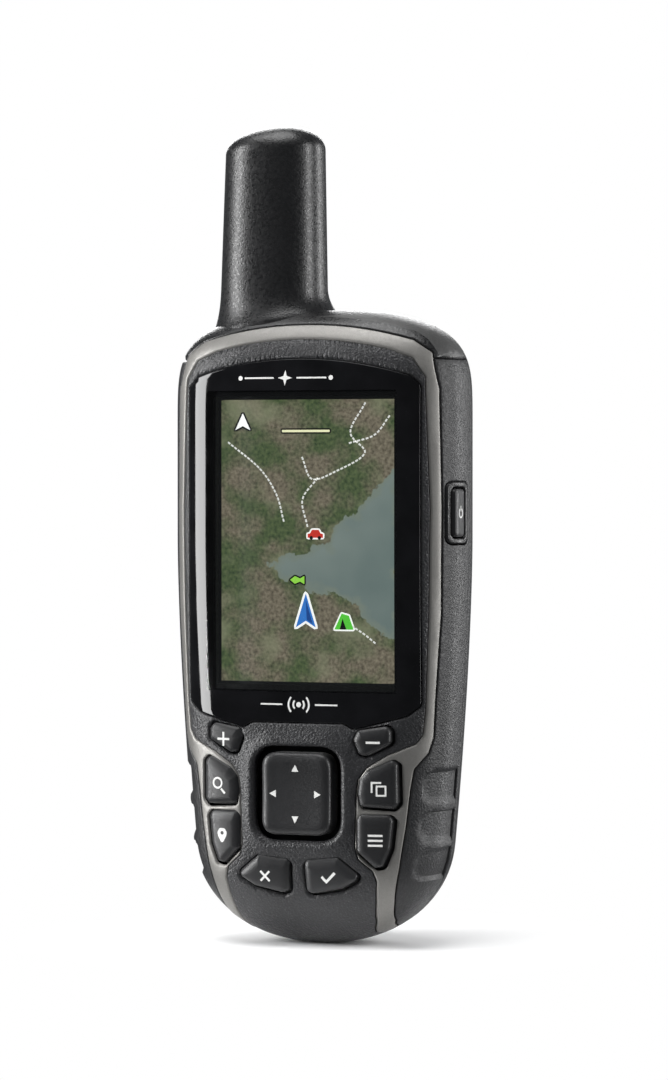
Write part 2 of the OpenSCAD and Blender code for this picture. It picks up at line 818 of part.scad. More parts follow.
module latch_screw()
    color(steel) {
        rod_y(0, latch_z, 1.7, 6.8, 7.6);
        rod_y(0, latch_z, 0.75, 7.6, 11.8);
    }

// Folding ring: a straight bar through the latch ears and a round bow.
module d_ring()
    color(steel) {
        rod_x(ring_pivot_y, ring_pivot_z, ring_wire_r, -ring_r, ring_r);
        intersection() {
            translate([0, ring_pivot_y, ring_pivot_z])
                rotate([90, 0, 0])
                    rotate_extrude($fn = 64)
                        translate([ring_r, 0])
                            circle(r = ring_wire_r, $fn = 24);
            box([-15, 15], [10, 20], [0, ring_pivot_z]);
        }
        for (side = [-1, 1])
            translate([side * ring_r, ring_pivot_y, ring_pivot_z]) sphere(r = ring_wire_r, $fn = 24);
    }

module usb_port_cap()
    color(rubber_black)
    difference() {
        union() {
            box([usb_x - usb_cap_half_w, usb_x + usb_cap_half_w], [12.4, 13.7], [usb_cap_z0, usb_hinge_z]);
            rod_x(usb_hinge_y, usb_hinge_z, 0.75, usb_x - usb_cap_half_w, usb_x + usb_cap_half_w);
        }
        box([usb_x - 3, usb_x + 3], [13.3, far_y], [usb_cap_z0 + 0.9, usb_cap_z0 + 1.9]);
    }

module antenna_port_cap()
    color(rubber_black) {
        rod_y(jack_x, jack_z, 4.2, jack_face_y + 0.3, 13);
        box([jack_hinge_x, jack_x], [jack_hinge_y - 0.7, jack_hinge_y + 0.5], [jack_z - 2.2, jack_z + 2.2]);
        translate([jack_hinge_x, jack_hinge_y, jack_z - 2.2]) cylinder(h = 4.4, r = 0.75, $fn = round_fn);
    }

front_case();
silver_bezel();
side_grip_left();
side_grip_right();
antenna_housing();
rear_case();
case_seal();
display_window();
display_gasket();
lcd_panel();
backlight_frame();
keypad_membrane();
dome_sheet();
main_board();
shield_cans();
io_board();
board_link();
antenna_core();
antenna_cable();
antenna_jack();
usb_connector();
power_switch();
power_button_collar();
beeper();
card_socket();
memory_card();
contact_springs();
contact_plates();
aa_cell_left();
aa_cell_right();
door_seal();
case_screws();
board_screws();
rocker_saddle();
rocker_pivot();
rocker_pad();
key_zoom_in();
key_zoom_out();
key_find();
key_mark();
key_page();
key_menu();
key_quit();
key_enter();
power_button();
battery_door();
door_hinge_pins();
spine_rail();
latch_bush();
door_latch();
latch_cam();
latch_screw();
d_ring();
usb_port_cap();
antenna_port_cap();
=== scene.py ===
"""Looks of a rugged handheld satellite navigator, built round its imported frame.

Shape rules work in millimetres in the frame's own axes: X to the viewer's right, Y into the back,
Z up along the antenna. Meshes are written in metres.
"""

import logging
import math
from collections.abc import Callable, Sequence
from dataclasses import dataclass, field
from enum import Enum
from functools import cache, cached_property

import bmesh
import bpy
import numpy as np
from mathutils import Matrix, Vector
from mathutils.geometry import delaunay_2d_cdt
from mathutils.kdtree import KDTree


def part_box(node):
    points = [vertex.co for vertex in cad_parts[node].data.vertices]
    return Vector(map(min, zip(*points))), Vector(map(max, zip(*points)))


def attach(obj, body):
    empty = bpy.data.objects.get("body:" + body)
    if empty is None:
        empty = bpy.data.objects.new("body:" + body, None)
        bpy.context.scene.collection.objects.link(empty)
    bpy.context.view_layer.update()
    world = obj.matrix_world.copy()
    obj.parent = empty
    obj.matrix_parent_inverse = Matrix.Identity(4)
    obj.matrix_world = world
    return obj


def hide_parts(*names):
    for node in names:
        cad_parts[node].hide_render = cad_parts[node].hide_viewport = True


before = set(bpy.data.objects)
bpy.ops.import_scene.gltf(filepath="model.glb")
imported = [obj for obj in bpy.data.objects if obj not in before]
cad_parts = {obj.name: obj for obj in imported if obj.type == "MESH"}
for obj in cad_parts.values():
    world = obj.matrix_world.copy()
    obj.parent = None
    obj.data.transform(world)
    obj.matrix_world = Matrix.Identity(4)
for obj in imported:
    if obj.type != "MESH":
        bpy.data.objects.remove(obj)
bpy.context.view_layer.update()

MM = 0.001
ROOT = "navigator"
Array = np.ndarray
Colour = tuple[float, float, float]
log = logging.getLogger("navigator")


def node_box(node: str) -> tuple[Array, Array]:
    """Lowest and highest corner of a CAD node in millimetres.

    Args:
        node: name of the CAD node.

    Returns:
        The two corners.
    """
    lo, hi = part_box(node)
    return np.array(lo) / MM, np.array(hi) / MM


# ---------------------------------------------------------------- finishes


class Graph:
    """Short-hand for wiring the nodes of one material."""

    def __init__(self, name: str) -> None:
        """Makes an empty material of that name."""
        self.material = bpy.data.materials.new(name)
        self.material.use_nodes = True
        self.tree = self.material.node_tree
        self.tree.nodes.clear()
        self.coords = self.add("ShaderNodeTexCoord").outputs["Object"]

    def add(self, kind: str, /, props: dict | None = None, **sockets: object) -> bpy.types.Node:
        """Adds a node.

        Args:
            kind: the node's type name.
            props: plain properties of the node.
            sockets: input values, or output sockets to link from. An underscore stands for a space.

        Returns:
            The node.
        """
        node = self.tree.nodes.new(kind)
        for key, value in (props or {}).items():
            setattr(node, key, value)
        for key, value in sockets.items():
            socket = node.inputs[int(key[1:]) if key[1:].isdigit() else key.replace("_", " ")]
            if isinstance(value, bpy.types.NodeSocket):
                self.tree.links.new(value, socket)
            else:
                socket.default_value = value
        return node

    def noise(self, size: float, detail: float = 2.0, stretch: Colour = (1, 1, 1)) -> bpy.types.NodeSocket:
        """Noise whose cells are about size millimetres across.

        Args:
            size: cell size in millimetres.
            detail: octaves.
            stretch: scale of the pattern along X, Y and Z.

        Returns:
            The noise's factor socket.
        """
        place = self.add("ShaderNodeMapping", Vector=self.coords, Scale=stretch)
        made = self.add("ShaderNodeTexNoise", Vector=place.outputs[0], Scale=1 / (size * MM), Detail=detail)
        return made.outputs["Fac"]

    def span(self, source: bpy.types.NodeSocket, lo: float, hi: float, start: float = 0.35,
             end: float = 0.65) -> bpy.types.NodeSocket:
        """Maps a factor from start..end to lo..hi.

        Args:
            source: factor to map.
            lo: value at start.
            hi: value at end.
            start: lower limit of the factor.
            end: upper limit of the factor.

        Returns:
            The mapped socket.
        """
        made = self.add("ShaderNodeMapRange", Value=source, From_Min=start, From_Max=end, To_Min=lo,
                        To_Max=hi)
        return made.outputs[0]

    def mix(self, factor: object, a: object, b: object) -> bpy.types.NodeSocket:
        """Mixes two colours.

        Args:
            factor: 0 for a, 1 for b.
            a: first colour.
            b: second colour.

        Returns:
            The mixed colour socket.
        """
        made = self.add("ShaderNodeMix", {"data_type": "RGBA"}, _0=factor, _6=a, _7=b)
        return made.outputs[2]

    def bump(self, height: bpy.types.NodeSocket, depth: float, strength: float = 1.0) -> bpy.types.NodeSocket:
        """Normal from a height pattern of that depth in millimetres."""
        return self.add("ShaderNodeBump", Height=height, Distance=depth * MM, Strength=strength).outputs[0]

    def finish(self, surface: bpy.types.Node) -> bpy.types.Material:
        """Ends the graph in that surface shader and returns the material."""
        self.add("ShaderNodeOutputMaterial", Surface=surface.outputs[0])
        return self.material


def rgba(colour: Colour, gain: float = 1.0) -> tuple[float, float, float, float]:
    """The colour, made lighter or darker by gain, with full alpha."""
    return (*[min(1.0, c * gain) for c in colour], 1.0)


@dataclass(frozen=True)
class Moulding:
    """Moulded plastic or rubber with a spark-eroded grain, painted glints as lighter specks, and soft wear.
    """

    name: str
    colour: Colour
    roughness: float
    grain: float
    depth: float
    painted_glint: float = 0.0
    specular: float = 0.5
    sheen: float = 0.0

    @cache
    def material(self) -> bpy.types.Material:
        """The finish as a material."""
        g = Graph(self.name)
        fine = g.noise(self.grain, 3)
        cells = g.add("ShaderNodeTexVoronoi", {"feature": "SMOOTH_F1"}, Vector=g.coords,
                      Scale=1 / (self.grain * 1.6 * MM), Smoothness=0.4).outputs["Distance"]
        height = g.add("ShaderNodeMath", {"operation": "SUBTRACT"}, _0=fine, _1=cells).outputs[0]
        cloud = g.span(g.noise(14), 0, 1)
        base = g.mix(cloud, rgba(self.colour, 0.82), rgba(self.colour, 1.2))
        # Painted highlight: small specks mixed towards six times the base colour stand in for glints off the
        # grain.
        painted_glint_specks = g.span(g.noise(self.grain * 0.8, 1), 0, self.painted_glint, 0.6, 0.72)
        tint = g.mix(painted_glint_specks, base, rgba(self.colour, 6))
        dull = g.span(g.noise(self.grain * 2.5), self.roughness - 0.07, self.roughness + 0.09)
        shader = g.add("ShaderNodeBsdfPrincipled", Base_Color=tint, Roughness=dull,
                       Normal=g.bump(height, self.depth), Specular_IOR_Level=self.specular,
                       Sheen_Weight=self.sheen, Sheen_Roughness=0.4)
        return g.finish(shader)


@dataclass(frozen=True)
class SatinPaint:
    """Metallic paint over plastic: fine flake, soft cloudiness and a thin clear coat."""

    name: str
    colour: Colour
    roughness: float

    @cache
    def material(self) -> bpy.types.Material:
        """The finish as a material."""
        g = Graph(self.name)
        flake = g.span(g.noise(0.09, 1), 0, 1, 0.42, 0.6)
        cloud = g.span(g.noise(9), 0, 1)
        base = g.mix(flake, rgba(self.colour, 0.86), rgba(self.colour, 1.12))
        base = g.mix(g.span(cloud, 0, 0.25, 0, 1), base, rgba(self.colour, 0.8))
        dull = g.span(g.noise(0.5, 3), self.roughness - 0.05, self.roughness + 0.08)
        shader = g.add("ShaderNodeBsdfPrincipled", Base_Color=base, Roughness=dull, Metallic=0.55,
                       Normal=g.bump(g.noise(0.12), 0.006), Coat_Weight=0.15, Coat_Roughness=0.35)
        return g.finish(shader)


@dataclass(frozen=True)
class Metal:
    """Plated or brushed metal with fine draw lines and handling marks."""

    name: str
    colour: Colour
    roughness: float
    lines: Colour = (1, 1, 12)

    @cache
    def material(self) -> bpy.types.Material:
        """The finish as a material."""
        g = Graph(self.name)
        drawn = g.noise(0.5, 4, self.lines)
        smudge = g.span(g.noise(4), 0, 1)
        base = g.mix(smudge, rgba(self.colour, 0.9), rgba(self.colour, 1.08))
        dull = g.span(drawn, self.roughness - 0.06, self.roughness + 0.12)
        shader = g.add("ShaderNodeBsdfPrincipled", Base_Color=base, Roughness=dull, Metallic=1.0,
                       Normal=g.bump(drawn, 0.004))
        return g.finish(shader)


@dataclass(frozen=True)
class BlackGlass:
    """Polished black border of the display window, with a faint film of handling."""

    name: str = "window_black"

    @cache
    def material(self) -> bpy.types.Material:
        """The finish as a material."""
        g = Graph(self.name)
        film = g.noise(7, 3)
        tint = g.mix(g.span(film, 0, 1), (0.003, 0.003, 0.0035, 1), (0.006, 0.006, 0.007, 1))
        shader = g.add("ShaderNodeBsdfPrincipled", Base_Color=tint, Roughness=g.span(film, 0.03, 0.07),
                       Normal=g.bump(g.noise(18, 0), 0.004), Specular_IOR_Level=0.28)
        return g.finish(shader)


@dataclass(frozen=True)
class ClearPane:
    """Clear part of the window: the picture shows through and only a faint gloss lies on top."""

    name: str = "window_clear"

    @cache
    def material(self) -> bpy.types.Material:
        """The finish as a material."""
        g = Graph(self.name)
        bend = g.bump(g.noise(18, 0), 0.004)
        film = g.span(g.noise(7, 3), 0.03, 0.07)
        gloss = g.add("ShaderNodeBsdfGlossy", Color=(1, 1, 1, 1), Roughness=film, Normal=bend)
        through = g.add("ShaderNodeBsdfTransparent", Color=(0.97, 0.98, 0.98, 1))
        edge = g.add("ShaderNodeFresnel", IOR=1.33, Normal=bend)
        return g.finish(g.add("ShaderNodeMixShader", _0=edge.outputs[0], _1=through.outputs[0],
                              _2=gloss.outputs[0]))


@dataclass(frozen=True)
class Ink:
    """Printed ink: nearly even, with a slight mottle."""

    name: str
    colour: Colour
    # Emission strength: the map's inks glow with the lit display; the white signs off the display get a small
    # painted glow.
    glow: float = 0.0

    @cache
    def material(self) -> bpy.types.Material:
        """The finish as a material."""
        g = Graph(self.name)
        tint = g.mix(g.span(g.noise(0.3), 0, 1), rgba(self.colour, 0.88), rgba(self.colour))
        shader = g.add("ShaderNodeBsdfPrincipled", Base_Color=tint, Roughness=g.span(g.noise(0.5), 0.4, 0.55),
                       Emission_Color=rgba(self.colour), Emission_Strength=self.glow)
        return g.finish(shader)


@dataclass(frozen=True)
class AerialMap:
    """Lit aerial picture: woods, fields and a lake, from noise and a stored distance to the shore."""

    name: str = "aerial_map"
    glow: float = 1.15

    @cache
    def material(self) -> bpy.types.Material:
        """The finish as a material."""
        g = Graph(self.name)
        shore = g.add("ShaderNodeAttribute", {"attribute_name": "shore"}).outputs["Fac"]
        ragged = g.add("ShaderNodeMath", {"operation": "ADD"}, _0=shore,
                       _1=g.span(g.noise(3, 5), -1.3, 1.3, 0.3, 0.7)).outputs[0]
        land = g.span(ragged, 0, 1, -0.12, 0.12)
        woods = g.span(g.noise(6.5, 6), 0, 1, 0.38, 0.6)
        crowns = g.span(g.noise(0.7, 4), 0, 1, 0.3, 0.7)
        green = g.mix(crowns, (0.022, 0.040, 0.016, 1), (0.085, 0.115, 0.048, 1))
        brown = g.mix(crowns, (0.060, 0.050, 0.034, 1), (0.20, 0.175, 0.125, 1))
        ground = g.mix(woods, green, brown)
        fields = g.span(g.noise(11, 2), 0, 0.55, 0.55, 0.66)
        ground = g.mix(fields, ground, (0.20, 0.21, 0.13, 1))
        water = g.mix(g.span(g.noise(16, 2), 0, 1), (0.085, 0.125, 0.125, 1), (0.155, 0.195, 0.185, 1))
        shallow = g.span(ragged, 0.75, 0, -1.6, -0.1)
        water = g.mix(shallow, (0.15, 0.18, 0.15, 1), water)
        tint = g.mix(land, water, ground)
        shader = g.add("ShaderNodeBsdfPrincipled", Base_Color=(0.02, 0.02, 0.02, 1), Roughness=0.6,
                       Emission_Color=tint, Emission_Strength=self.glow)
        return g.finish(shader)


@dataclass(frozen=True)
class SolderMask:
    """Circuit board: green mask over faint copper tracks."""

    name: str = "solder_mask"

    @cache
    def material(self) -> bpy.types.Material:
        """The finish as a material."""
        g = Graph(self.name)
        turned = g.add("ShaderNodeMapping", Vector=g.coords, Rotation=(math.pi / 2, 0, 0))
        tracks = g.add("ShaderNodeTexBrick", Vector=turned.outputs[0], Scale=1 / (4 * MM), Mortar_Size=0.03,
                       Color1=(0, 0, 0, 1), Color2=(0.1, 0.1, 0.1, 1), Mortar=(1, 1, 1, 1)).outputs["Color"]
        tint = g.mix(tracks, (0.012, 0.09, 0.035, 1), (0.03, 0.17, 0.06, 1))
        shader = g.add("ShaderNodeBsdfPrincipled", Base_Color=tint,
                       Roughness=g.span(g.noise(1.5), 0.28, 0.42),
                       Normal=g.bump(tracks, 0.03))
        return g.finish(shader)


@dataclass(frozen=True)
class CellWrap:
    """Shrunk film round a cell: a dark body and a copper-toned band towards the plus end."""

    name: str
    band_from: float
    upwards: bool

    @cache
    def material(self) -> bpy.types.Material:
        """The finish as a material."""
        g = Graph(self.name)
        level = g.add("ShaderNodeSeparateXYZ", Vector=g.coords).outputs[2]
        step = 0.15 * MM
        edge = self.band_from * MM
        band = g.span(level, *((0, 1) if self.upwards else (1, 0)), edge - step, edge + step)
        dark = g.mix(g.span(g.noise(3), 0, 1), (0.012, 0.013, 0.016, 1), (0.022, 0.024, 0.03, 1))
        copper = g.mix(g.span(g.noise(0.6), 0, 1), (0.38, 0.19, 0.07, 1), (0.5, 0.27, 0.1, 1))
        shader = g.add("ShaderNodeBsdfPrincipled", Base_Color=g.mix(band, dark, copper), Metallic=band,
                       Roughness=g.span(g.noise(1), 0.24, 0.36), Coat_Weight=0.4)
        return g.finish(shader)


FASCIA = Moulding("fascia_grain", (0.022, 0.022, 0.0235), 0.38, 0.3, 0.085, painted_glint=0.4)
SIDE_GRAIN = Moulding("side_grain", (0.014, 0.014, 0.015), 0.45, 0.28, 0.06, painted_glint=0.18)
CASE_BLACK = Moulding("case_black", (0.008, 0.008, 0.0085), 0.32, 0.24, 0.03, painted_glint=0.08)
KEY_SATIN = Moulding("key_satin", (0.014, 0.014, 0.015), 0.38, 0.12, 0.007, sheen=0.15)
# Painted highlight: the top housing's own black plastic, painted lighter grey where light falls on its top
# face.
TOP_PAINTED_HIGHLIGHT = Moulding("top_painted_highlight", (0.055, 0.055, 0.054), 0.42, 0.24, 0.03)
INNER_BLACK = Moulding("inner_black", (0.012, 0.012, 0.013), 0.55, 0.4, 0.01)
LATCH_BLACK = Moulding("latch_black", (0.018, 0.018, 0.02), 0.4, 0.25, 0.015)
FOAM = Moulding("foam", (0.02, 0.02, 0.02), 0.85, 0.35, 0.08)
WHITE_PLASTIC = Moulding("white_plastic", (0.62, 0.62, 0.6), 0.4, 0.5, 0.01)
CERAMIC = Moulding("fired_ceramic", (0.55, 0.49, 0.39), 0.6, 0.3, 0.02)
CARD = Moulding("card_black", (0.012, 0.012, 0.014), 0.35, 0.15, 0.004)
CHIP = Moulding("chip_black", (0.015, 0.015, 0.016), 0.5, 0.1, 0.004)
SILVER = SatinPaint("silver_satin", (0.235, 0.228, 0.215), 0.44)
STEEL = Metal("nickel_steel", (0.62, 0.61, 0.6), 0.26)
GOLD = Metal("gold_plate", (0.78, 0.56, 0.25), 0.25)
COPPER = Metal("copper_strip", (0.72, 0.36, 0.2), 0.3)
# White print with a painted glow: an emission of 0.12 makes the signs on the keys, rocker, button and border
# give off light of their own.
WHITE_INK_PAINTED_GLOW = Ink("white_ink_painted_glow", (0.78, 0.78, 0.76), 0.12)


# ---------------------------------------------------------------- shape rules


@dataclass(frozen=True)
class CaseShape:
    """The case's outer skin: superellipse rings whose size follows the level."""

    half_w: float = 29.8
    top: float = 124.1
    front_depth: float = 14.0
    rear_depth: float = 17.0
    axis_y: float = -2.3
    narrowing: float = 3.6
    waist_z: float = 79.0
    foot_z: float = 20.0
    shoulder_z: float = 100.0
    front_power: float = 2.9
    rear_power: float = 2.3
    blunt: float = 0.02

    def dome(self, t: Array, flat: float, curl: float) -> Array:
        """Superellipse quarter: 1 at the wide end, closing to a small blunt tip at t = 1."""
        return np.maximum(self.blunt, np.clip(1 - np.maximum(0, t) ** flat, 0, 1) ** (1 / curl))

    def foot_t(self, z: Array) -> Array:
        """Share of the foot that lies above level z."""
        return (self.foot_z - z) / self.foot_z

    def shoulder_t(self, z: Array) -> Array:
        """Share of the shoulder that lies below level z."""
        return (z - self.shoulder_z) / (self.top - self.shoulder_z)

    def width_at(self, z: Array) -> Array:
        """Half width of the ring at level z."""
        slope = np.maximum(0, (self.waist_z - z) / (self.waist_z - self.foot_z)) ** 1.6
        side = self.half_w - self.narrowing * slope
        return side * self.dome(self.foot_t(z), 2.2, 2.2) * self.dome(self.shoulder_t(z), 4.8, 2.1)

    def share_at(self, z: Array) -> Array:
        """Share of the full depth at level z."""
        return self.dome(self.foot_t(z), 2.4, 2.4) * self.dome(self.shoulder_t(z), 3.4, 2)

    @cached_property
    def foot_run(self) -> float:
        """Length of the height parameter over the foot."""
        return self.foot_z * math.pi / 2

    @cached_property
    def shoulder_v(self) -> float:
        """Height parameter where the shoulder starts."""
        return self.foot_run + self.shoulder_z - self.foot_z

    @cached_property
    def top_v(self) -> float:
        """Height parameter at the top."""
        return self.shoulder_v + (self.top - self.shoulder_z) * math.pi / 2

    def level(self, v: Array) -> Array:
        """Level for a height parameter, which runs evenly along the skin."""
        rise = self.top - self.shoulder_z
        foot = self.foot_z * (1 - np.cos(np.clip(v / self.foot_z, 0, math.pi / 2)))
        crown = rise * np.sin(np.clip((v - self.shoulder_v) / rise, 0, math.pi / 2))
        return foot + np.clip(v - self.foot_run, 0, self.shoulder_z - self.foot_z) + crown

    def height(self, z: Array) -> Array:
        """Height parameter for a level."""
        rise = self.top - self.shoulder_z
        foot = self.foot_z * np.arccos(np.clip(self.foot_t(z), 0, 1))
        crown = rise * np.arcsin(np.clip(self.shoulder_t(z), 0, 1))
        return foot + np.clip(z - self.foot_z, 0, self.shoulder_z - self.foot_z) + crown

    @cached_property
    def ring(self) -> tuple[Array, Array, Array]:
        """Half ring from the front centre to the rear centre: way along it, unit x and unit y."""
        a = np.linspace(0, math.pi, 6001)
        power = np.where(a < math.pi / 2, 2 / self.front_power, 2 / self.rear_power)
        x = np.sin(a).clip(0) ** power
        y = -np.sign(np.cos(a)) * np.abs(np.cos(a)) ** power
        depth = np.where(y < 0, self.front_depth, self.rear_depth)
        steps = np.hypot(np.diff(x * self.half_w), np.diff(y * depth))
        return np.concatenate([[0], np.cumsum(steps)]), x, y

    @cached_property
    def half_turn(self) -> float:
        """Way from the front centre to the rear centre."""
        return float(self.ring[0][-1])

    def skin(self, s: Array, v: Array, inset: Array | float = 0.0) -> Array:
        """Points of the skin.

        Args:
            s: way round the ring from the front centre, towards +X.
            v: height parameter.
            inset: distance below the skin.

        Returns:
            One row of X, Y, Z for each point.
        """
        way, unit_x, unit_y = self.ring
        turned = np.mod(s, 2 * self.half_turn)
        folded = np.minimum(turned, 2 * self.half_turn - turned)
        side = np.where(turned > self.half_turn, -1.0, 1.0)
        z = self.level(v)
        y = np.interp(folded, way, unit_y)
        depth = np.where(y < 0, self.front_depth, self.rear_depth)
        mid = self.top / 2
        return np.stack([
            side * np.interp(folded, way, unit_x) * self.width_at(z) * (self.half_w - inset) / self.half_w,
            self.axis_y + self.share_at(z) * (depth - inset) * y,
            mid + (z - mid) * (mid - inset) / mid], axis=-1)

    def from_front(self, path: Array, inset: float = 0.0) -> Array:
        """Carries points given as X and Z onto the front of the skin at that inset, as s and v."""
        way, unit_x, _ = self.ring
        mid = self.top / 2
        path = np.stack([path[:, 0] * self.half_w / (self.half_w - inset),
                         mid + (path[:, 1] - mid) * mid / (mid - inset)], axis=-1)
        middle = len(way) // 2 + 1
        ux = np.clip(np.abs(path[:, 0]) / self.width_at(path[:, 1]), 0, 0.9999)
        return np.stack([np.sign(path[:, 0]) * np.interp(ux, unit_x[:middle], way[:middle]),
                         self.height(path[:, 1])], axis=-1)

    def from_rear(self, path: Array) -> Array:
        """Carries points given as X and Z onto the rear of the skin, as s and v."""
        way, unit_x, _ = self.ring
        middle = len(way) // 2
        ux = np.clip(np.abs(path[:, 0]) / self.width_at(path[:, 1]), 0, 0.9999)
        s = np.interp(ux, unit_x[middle:][::-1], way[middle:][::-1])
        return np.stack([np.where(path[:, 0] < 0, 2 * self.half_turn - s, s), self.height(path[:, 1])],
                        axis=-1)

    def from_side(self, path: Array, side: int) -> Array:
        """Carries points given as Y and Z onto one side of the skin, as s and v."""
        way, _, unit_y = self.ring
        reach = path[:, 0] - self.axis_y
        depth = np.where(reach < 0, self.front_depth, self.rear_depth) * self.share_at(path[:, 1])
        s = np.interp(np.clip(reach / depth, -1, 1), unit_y, way)
        return np.stack([side * s, self.height(path[:, 1])], axis=-1)


CASE = CaseShape()


def resampled(path: Array, step: float, closed: bool = True) -> Array:
    """Points along a path at an even step."""
    ends = np.vstack([path, path[:1]]) if closed else path
    way = np.concatenate([[0], np.cumsum(np.linalg.norm(np.diff(ends, axis=0), axis=1))])
    count = max(3, int(round(way[-1] / step)))
    at = np.linspace(0, way[-1], count + (not closed), endpoint=not closed)
    return np.stack([np.interp(at, way, ends[:, k]) for k in range(path.shape[1])], axis=-1)


def rounded(points: Sequence[Sequence[float]], radius: float, step: float = 0.35) -> Array:
    """Closed outline with its corners rounded.

    Args:
        points: corners in order.
        radius: radius of the corners, less where an edge is short.
        step: distance between the points made.

    Returns:
        The points of the outline.
    """
    corners = np.array(points, float)
    made: list[Array] = []
    for i, here in enumerate(corners):
        back, ahead = corners[i - 1] - here, corners[(i + 1) % len(corners)] - here
        lengths = np.linalg.norm(back), np.linalg.norm(ahead)
        back, ahead = back / lengths[0], ahead / lengths[1]
        half = math.acos(float(np.clip(back @ ahead, -1, 1))) / 2
        run = min(radius / math.tan(max(half, 0.02)), 0.48 * min(lengths))
        k = np.linspace(0, 1, 9)[:, None]
        start, end = here + back * run, here + ahead * run
        made.append((1 - k) ** 2 * start + 2 * k * (1 - k) * here + k ** 2 * end)
    return resampled(np.vstack(made), step)


def grown(path: Array, amount: float) -> Array:
    """Closed outline moved outwards by that amount."""
    way = np.roll(path, -1, 0) - np.roll(path, 1, 0)
    way /= np.linalg.norm(way, axis=1)[:, None]
    area = np.sum(path[:, 0] * np.roll(path[:, 1], -1) - np.roll(path[:, 0], -1) * path[:, 1])
    return path + np.stack([way[:, 1], -way[:, 0]], axis=-1) * amount * np.sign(area)


def mirrored(points: Sequence[Sequence[float]]) -> list[list[float]]:
    """Right half of an outline from the top down, followed by its left half back up."""
    return [list(p) for p in points] + [[-p[0], p[1]] for p in reversed(points)]


def crown(top: float, radius: float, reach: float, count: int = 8) -> list[list[float]]:
    """Right half of a shallow arch, from its top to that reach."""
    return [[x, top - radius + math.sqrt(radius ** 2 - x * x)] for x in np.linspace(0.01, reach, count)]


def oblong(half_w: float, half_h: float, r: float, centre: Sequence[float] = (0, 0),
           step: float = 0.35) -> Array:
    """Rounded rectangle round a centre."""
    corners = [[half_w, half_h], [half_w, -half_h], [-half_w, -half_h], [-half_w, half_h]]
    return rounded(np.array(corners) + np.array(centre), r, step)


def disc(radius: float, centre: Sequence[float] = (0, 0), count: int = 48) -> Array:
    """Circle round a centre."""
    a = np.linspace(0, 2 * math.pi, count, endpoint=False)
    return np.stack([np.cos(a), np.sin(a)], axis=-1) * radius + np.array(centre)


def even_odd(points: Array, loops: Sequence[Array]) -> Array:
    """True for each point that lies inside an odd number of the loops."""
    inside = np.zeros(len(points), bool)
    for loop in loops:
        start, end = loop, np.roll(loop, -1, 0)
        for part in np.array_split(np.arange(len(points)), max(1, len(points) * len(loop) // 4_000_000)):
            x, y = points[part, 0:1], points[part, 1:2]
            spans = (start[:, 1] > y) != (end[:, 1] > y)
            rise = np.where(end[:, 1] == start[:, 1], 1.0, end[:, 1] - start[:, 1])
            cut = start[:, 0] + (y - start[:, 1]) * (end[:, 0] - start[:, 0]) / rise
            inside[part] ^= (np.sum(spans & (x < cut), axis=1) % 2).astype(bool)
    return inside


class Chart(Enum):
    """How a stretch of skin is laid flat to be meshed."""

    SHEET = "unrolled"
    FOOT = "opened out round the foot"
    CROWN = "opened out round the top"


@dataclass(frozen=True)
class SkinSurface:
    """The case's skin as a surface to build walls on."""

    chart: Chart = Chart.SHEET

    def at(self, uv: Array, inset: Array | float) -> Array:
        """Points at that depth below the skin."""
        return CASE.skin(uv[:, 0], uv[:, 1], inset)

    def plane(self, uv: Array) -> Array:
        """The points laid flat."""
        if self.chart is Chart.SHEET:
            return uv
        away = uv[:, 1] if self.chart is Chart.FOOT else CASE.top_v - uv[:, 1]
        turn = uv[:, 0] * math.pi / CASE.half_turn
        return np.stack([away * np.sin(turn), -away * np.cos(turn)], axis=-1)

    def lattice(self, lo: Array, hi: Array, spacing: float) -> Array:
        """Even rows of points between two corners."""
        rows = []
        for v in np.arange(lo[1] + spacing / 2, hi[1], spacing):
            slim = float(CASE.width_at(CASE.level(np.array(v)))) / CASE.half_w
            step = spacing / max(0.06, slim)
            s = np.arange(lo[0] + step / 2, hi[0], step)
            rows.append(np.stack([s, np.full_like(s, v)], axis=-1))
        return np.vstack(rows)


@dataclass(frozen=True)
class FlatSurface:
    """A plane, dished by a sphere if that is asked for, as a surface to build walls on."""

    origin: tuple[float, float, float]
    u: tuple[float, float, float] = (1, 0, 0)
    v: tuple[float, float, float] = (0, 0, 1)
    dish: float = 0.0
    reach: float = 1.0

    def at(self, uv: Array, inset: Array | float) -> Array:
        """Points at that depth below the plane."""
        normal = np.cross(self.u, self.v)
        bowl = self.dish * (1 - np.minimum(1, np.sum(uv ** 2, axis=1) / self.reach ** 2))
        depth = (np.zeros(len(uv)) + inset + bowl)[:, None]
        return (np.array(self.origin) + uv[:, :1] * np.array(self.u) + uv[:, 1:] * np.array(self.v)
                - depth * normal)

    def plane(self, uv: Array) -> Array:
        """The points laid flat."""
        return uv

    def lattice(self, lo: Array, hi: Array, spacing: float) -> Array:
        """Even rows of points between two corners."""
        grid = np.meshgrid(*[np.arange(lo[k] + spacing / 2, hi[k], spacing) for k in (0, 1)])
        return np.stack(grid, axis=-1).reshape(-1, 2)


@dataclass(frozen=True, eq=False)
class Rim:
    """One closed edge of a wall: its outline, how the face rolls over, and if it is cut straight along Y."""

    path: Array
    reach: float = 0.3
    drop: float = 0.3
    straight: bool = False


def mesh_object(name: str, points: Array, faces: Sequence[Sequence[int]], smooth_deg: float = 35.0
                ) -> bpy.types.Object:
    """Makes an object from points in millimetres.

    Args:
        name: name of the object and its mesh.
        points: one row for each vertex.
        faces: vertex numbers of each face.
        smooth_deg: edges sharper than this stay sharp.

    Returns:
        The object, linked to the scene.
    """
    mesh = bpy.data.meshes.new(name)
    mesh.from_pydata((np.asarray(points) * MM).tolist(), [], [list(map(int, f)) for f in faces])
    mesh.validate()
    return mesh_shown(name, mesh, smooth_deg)


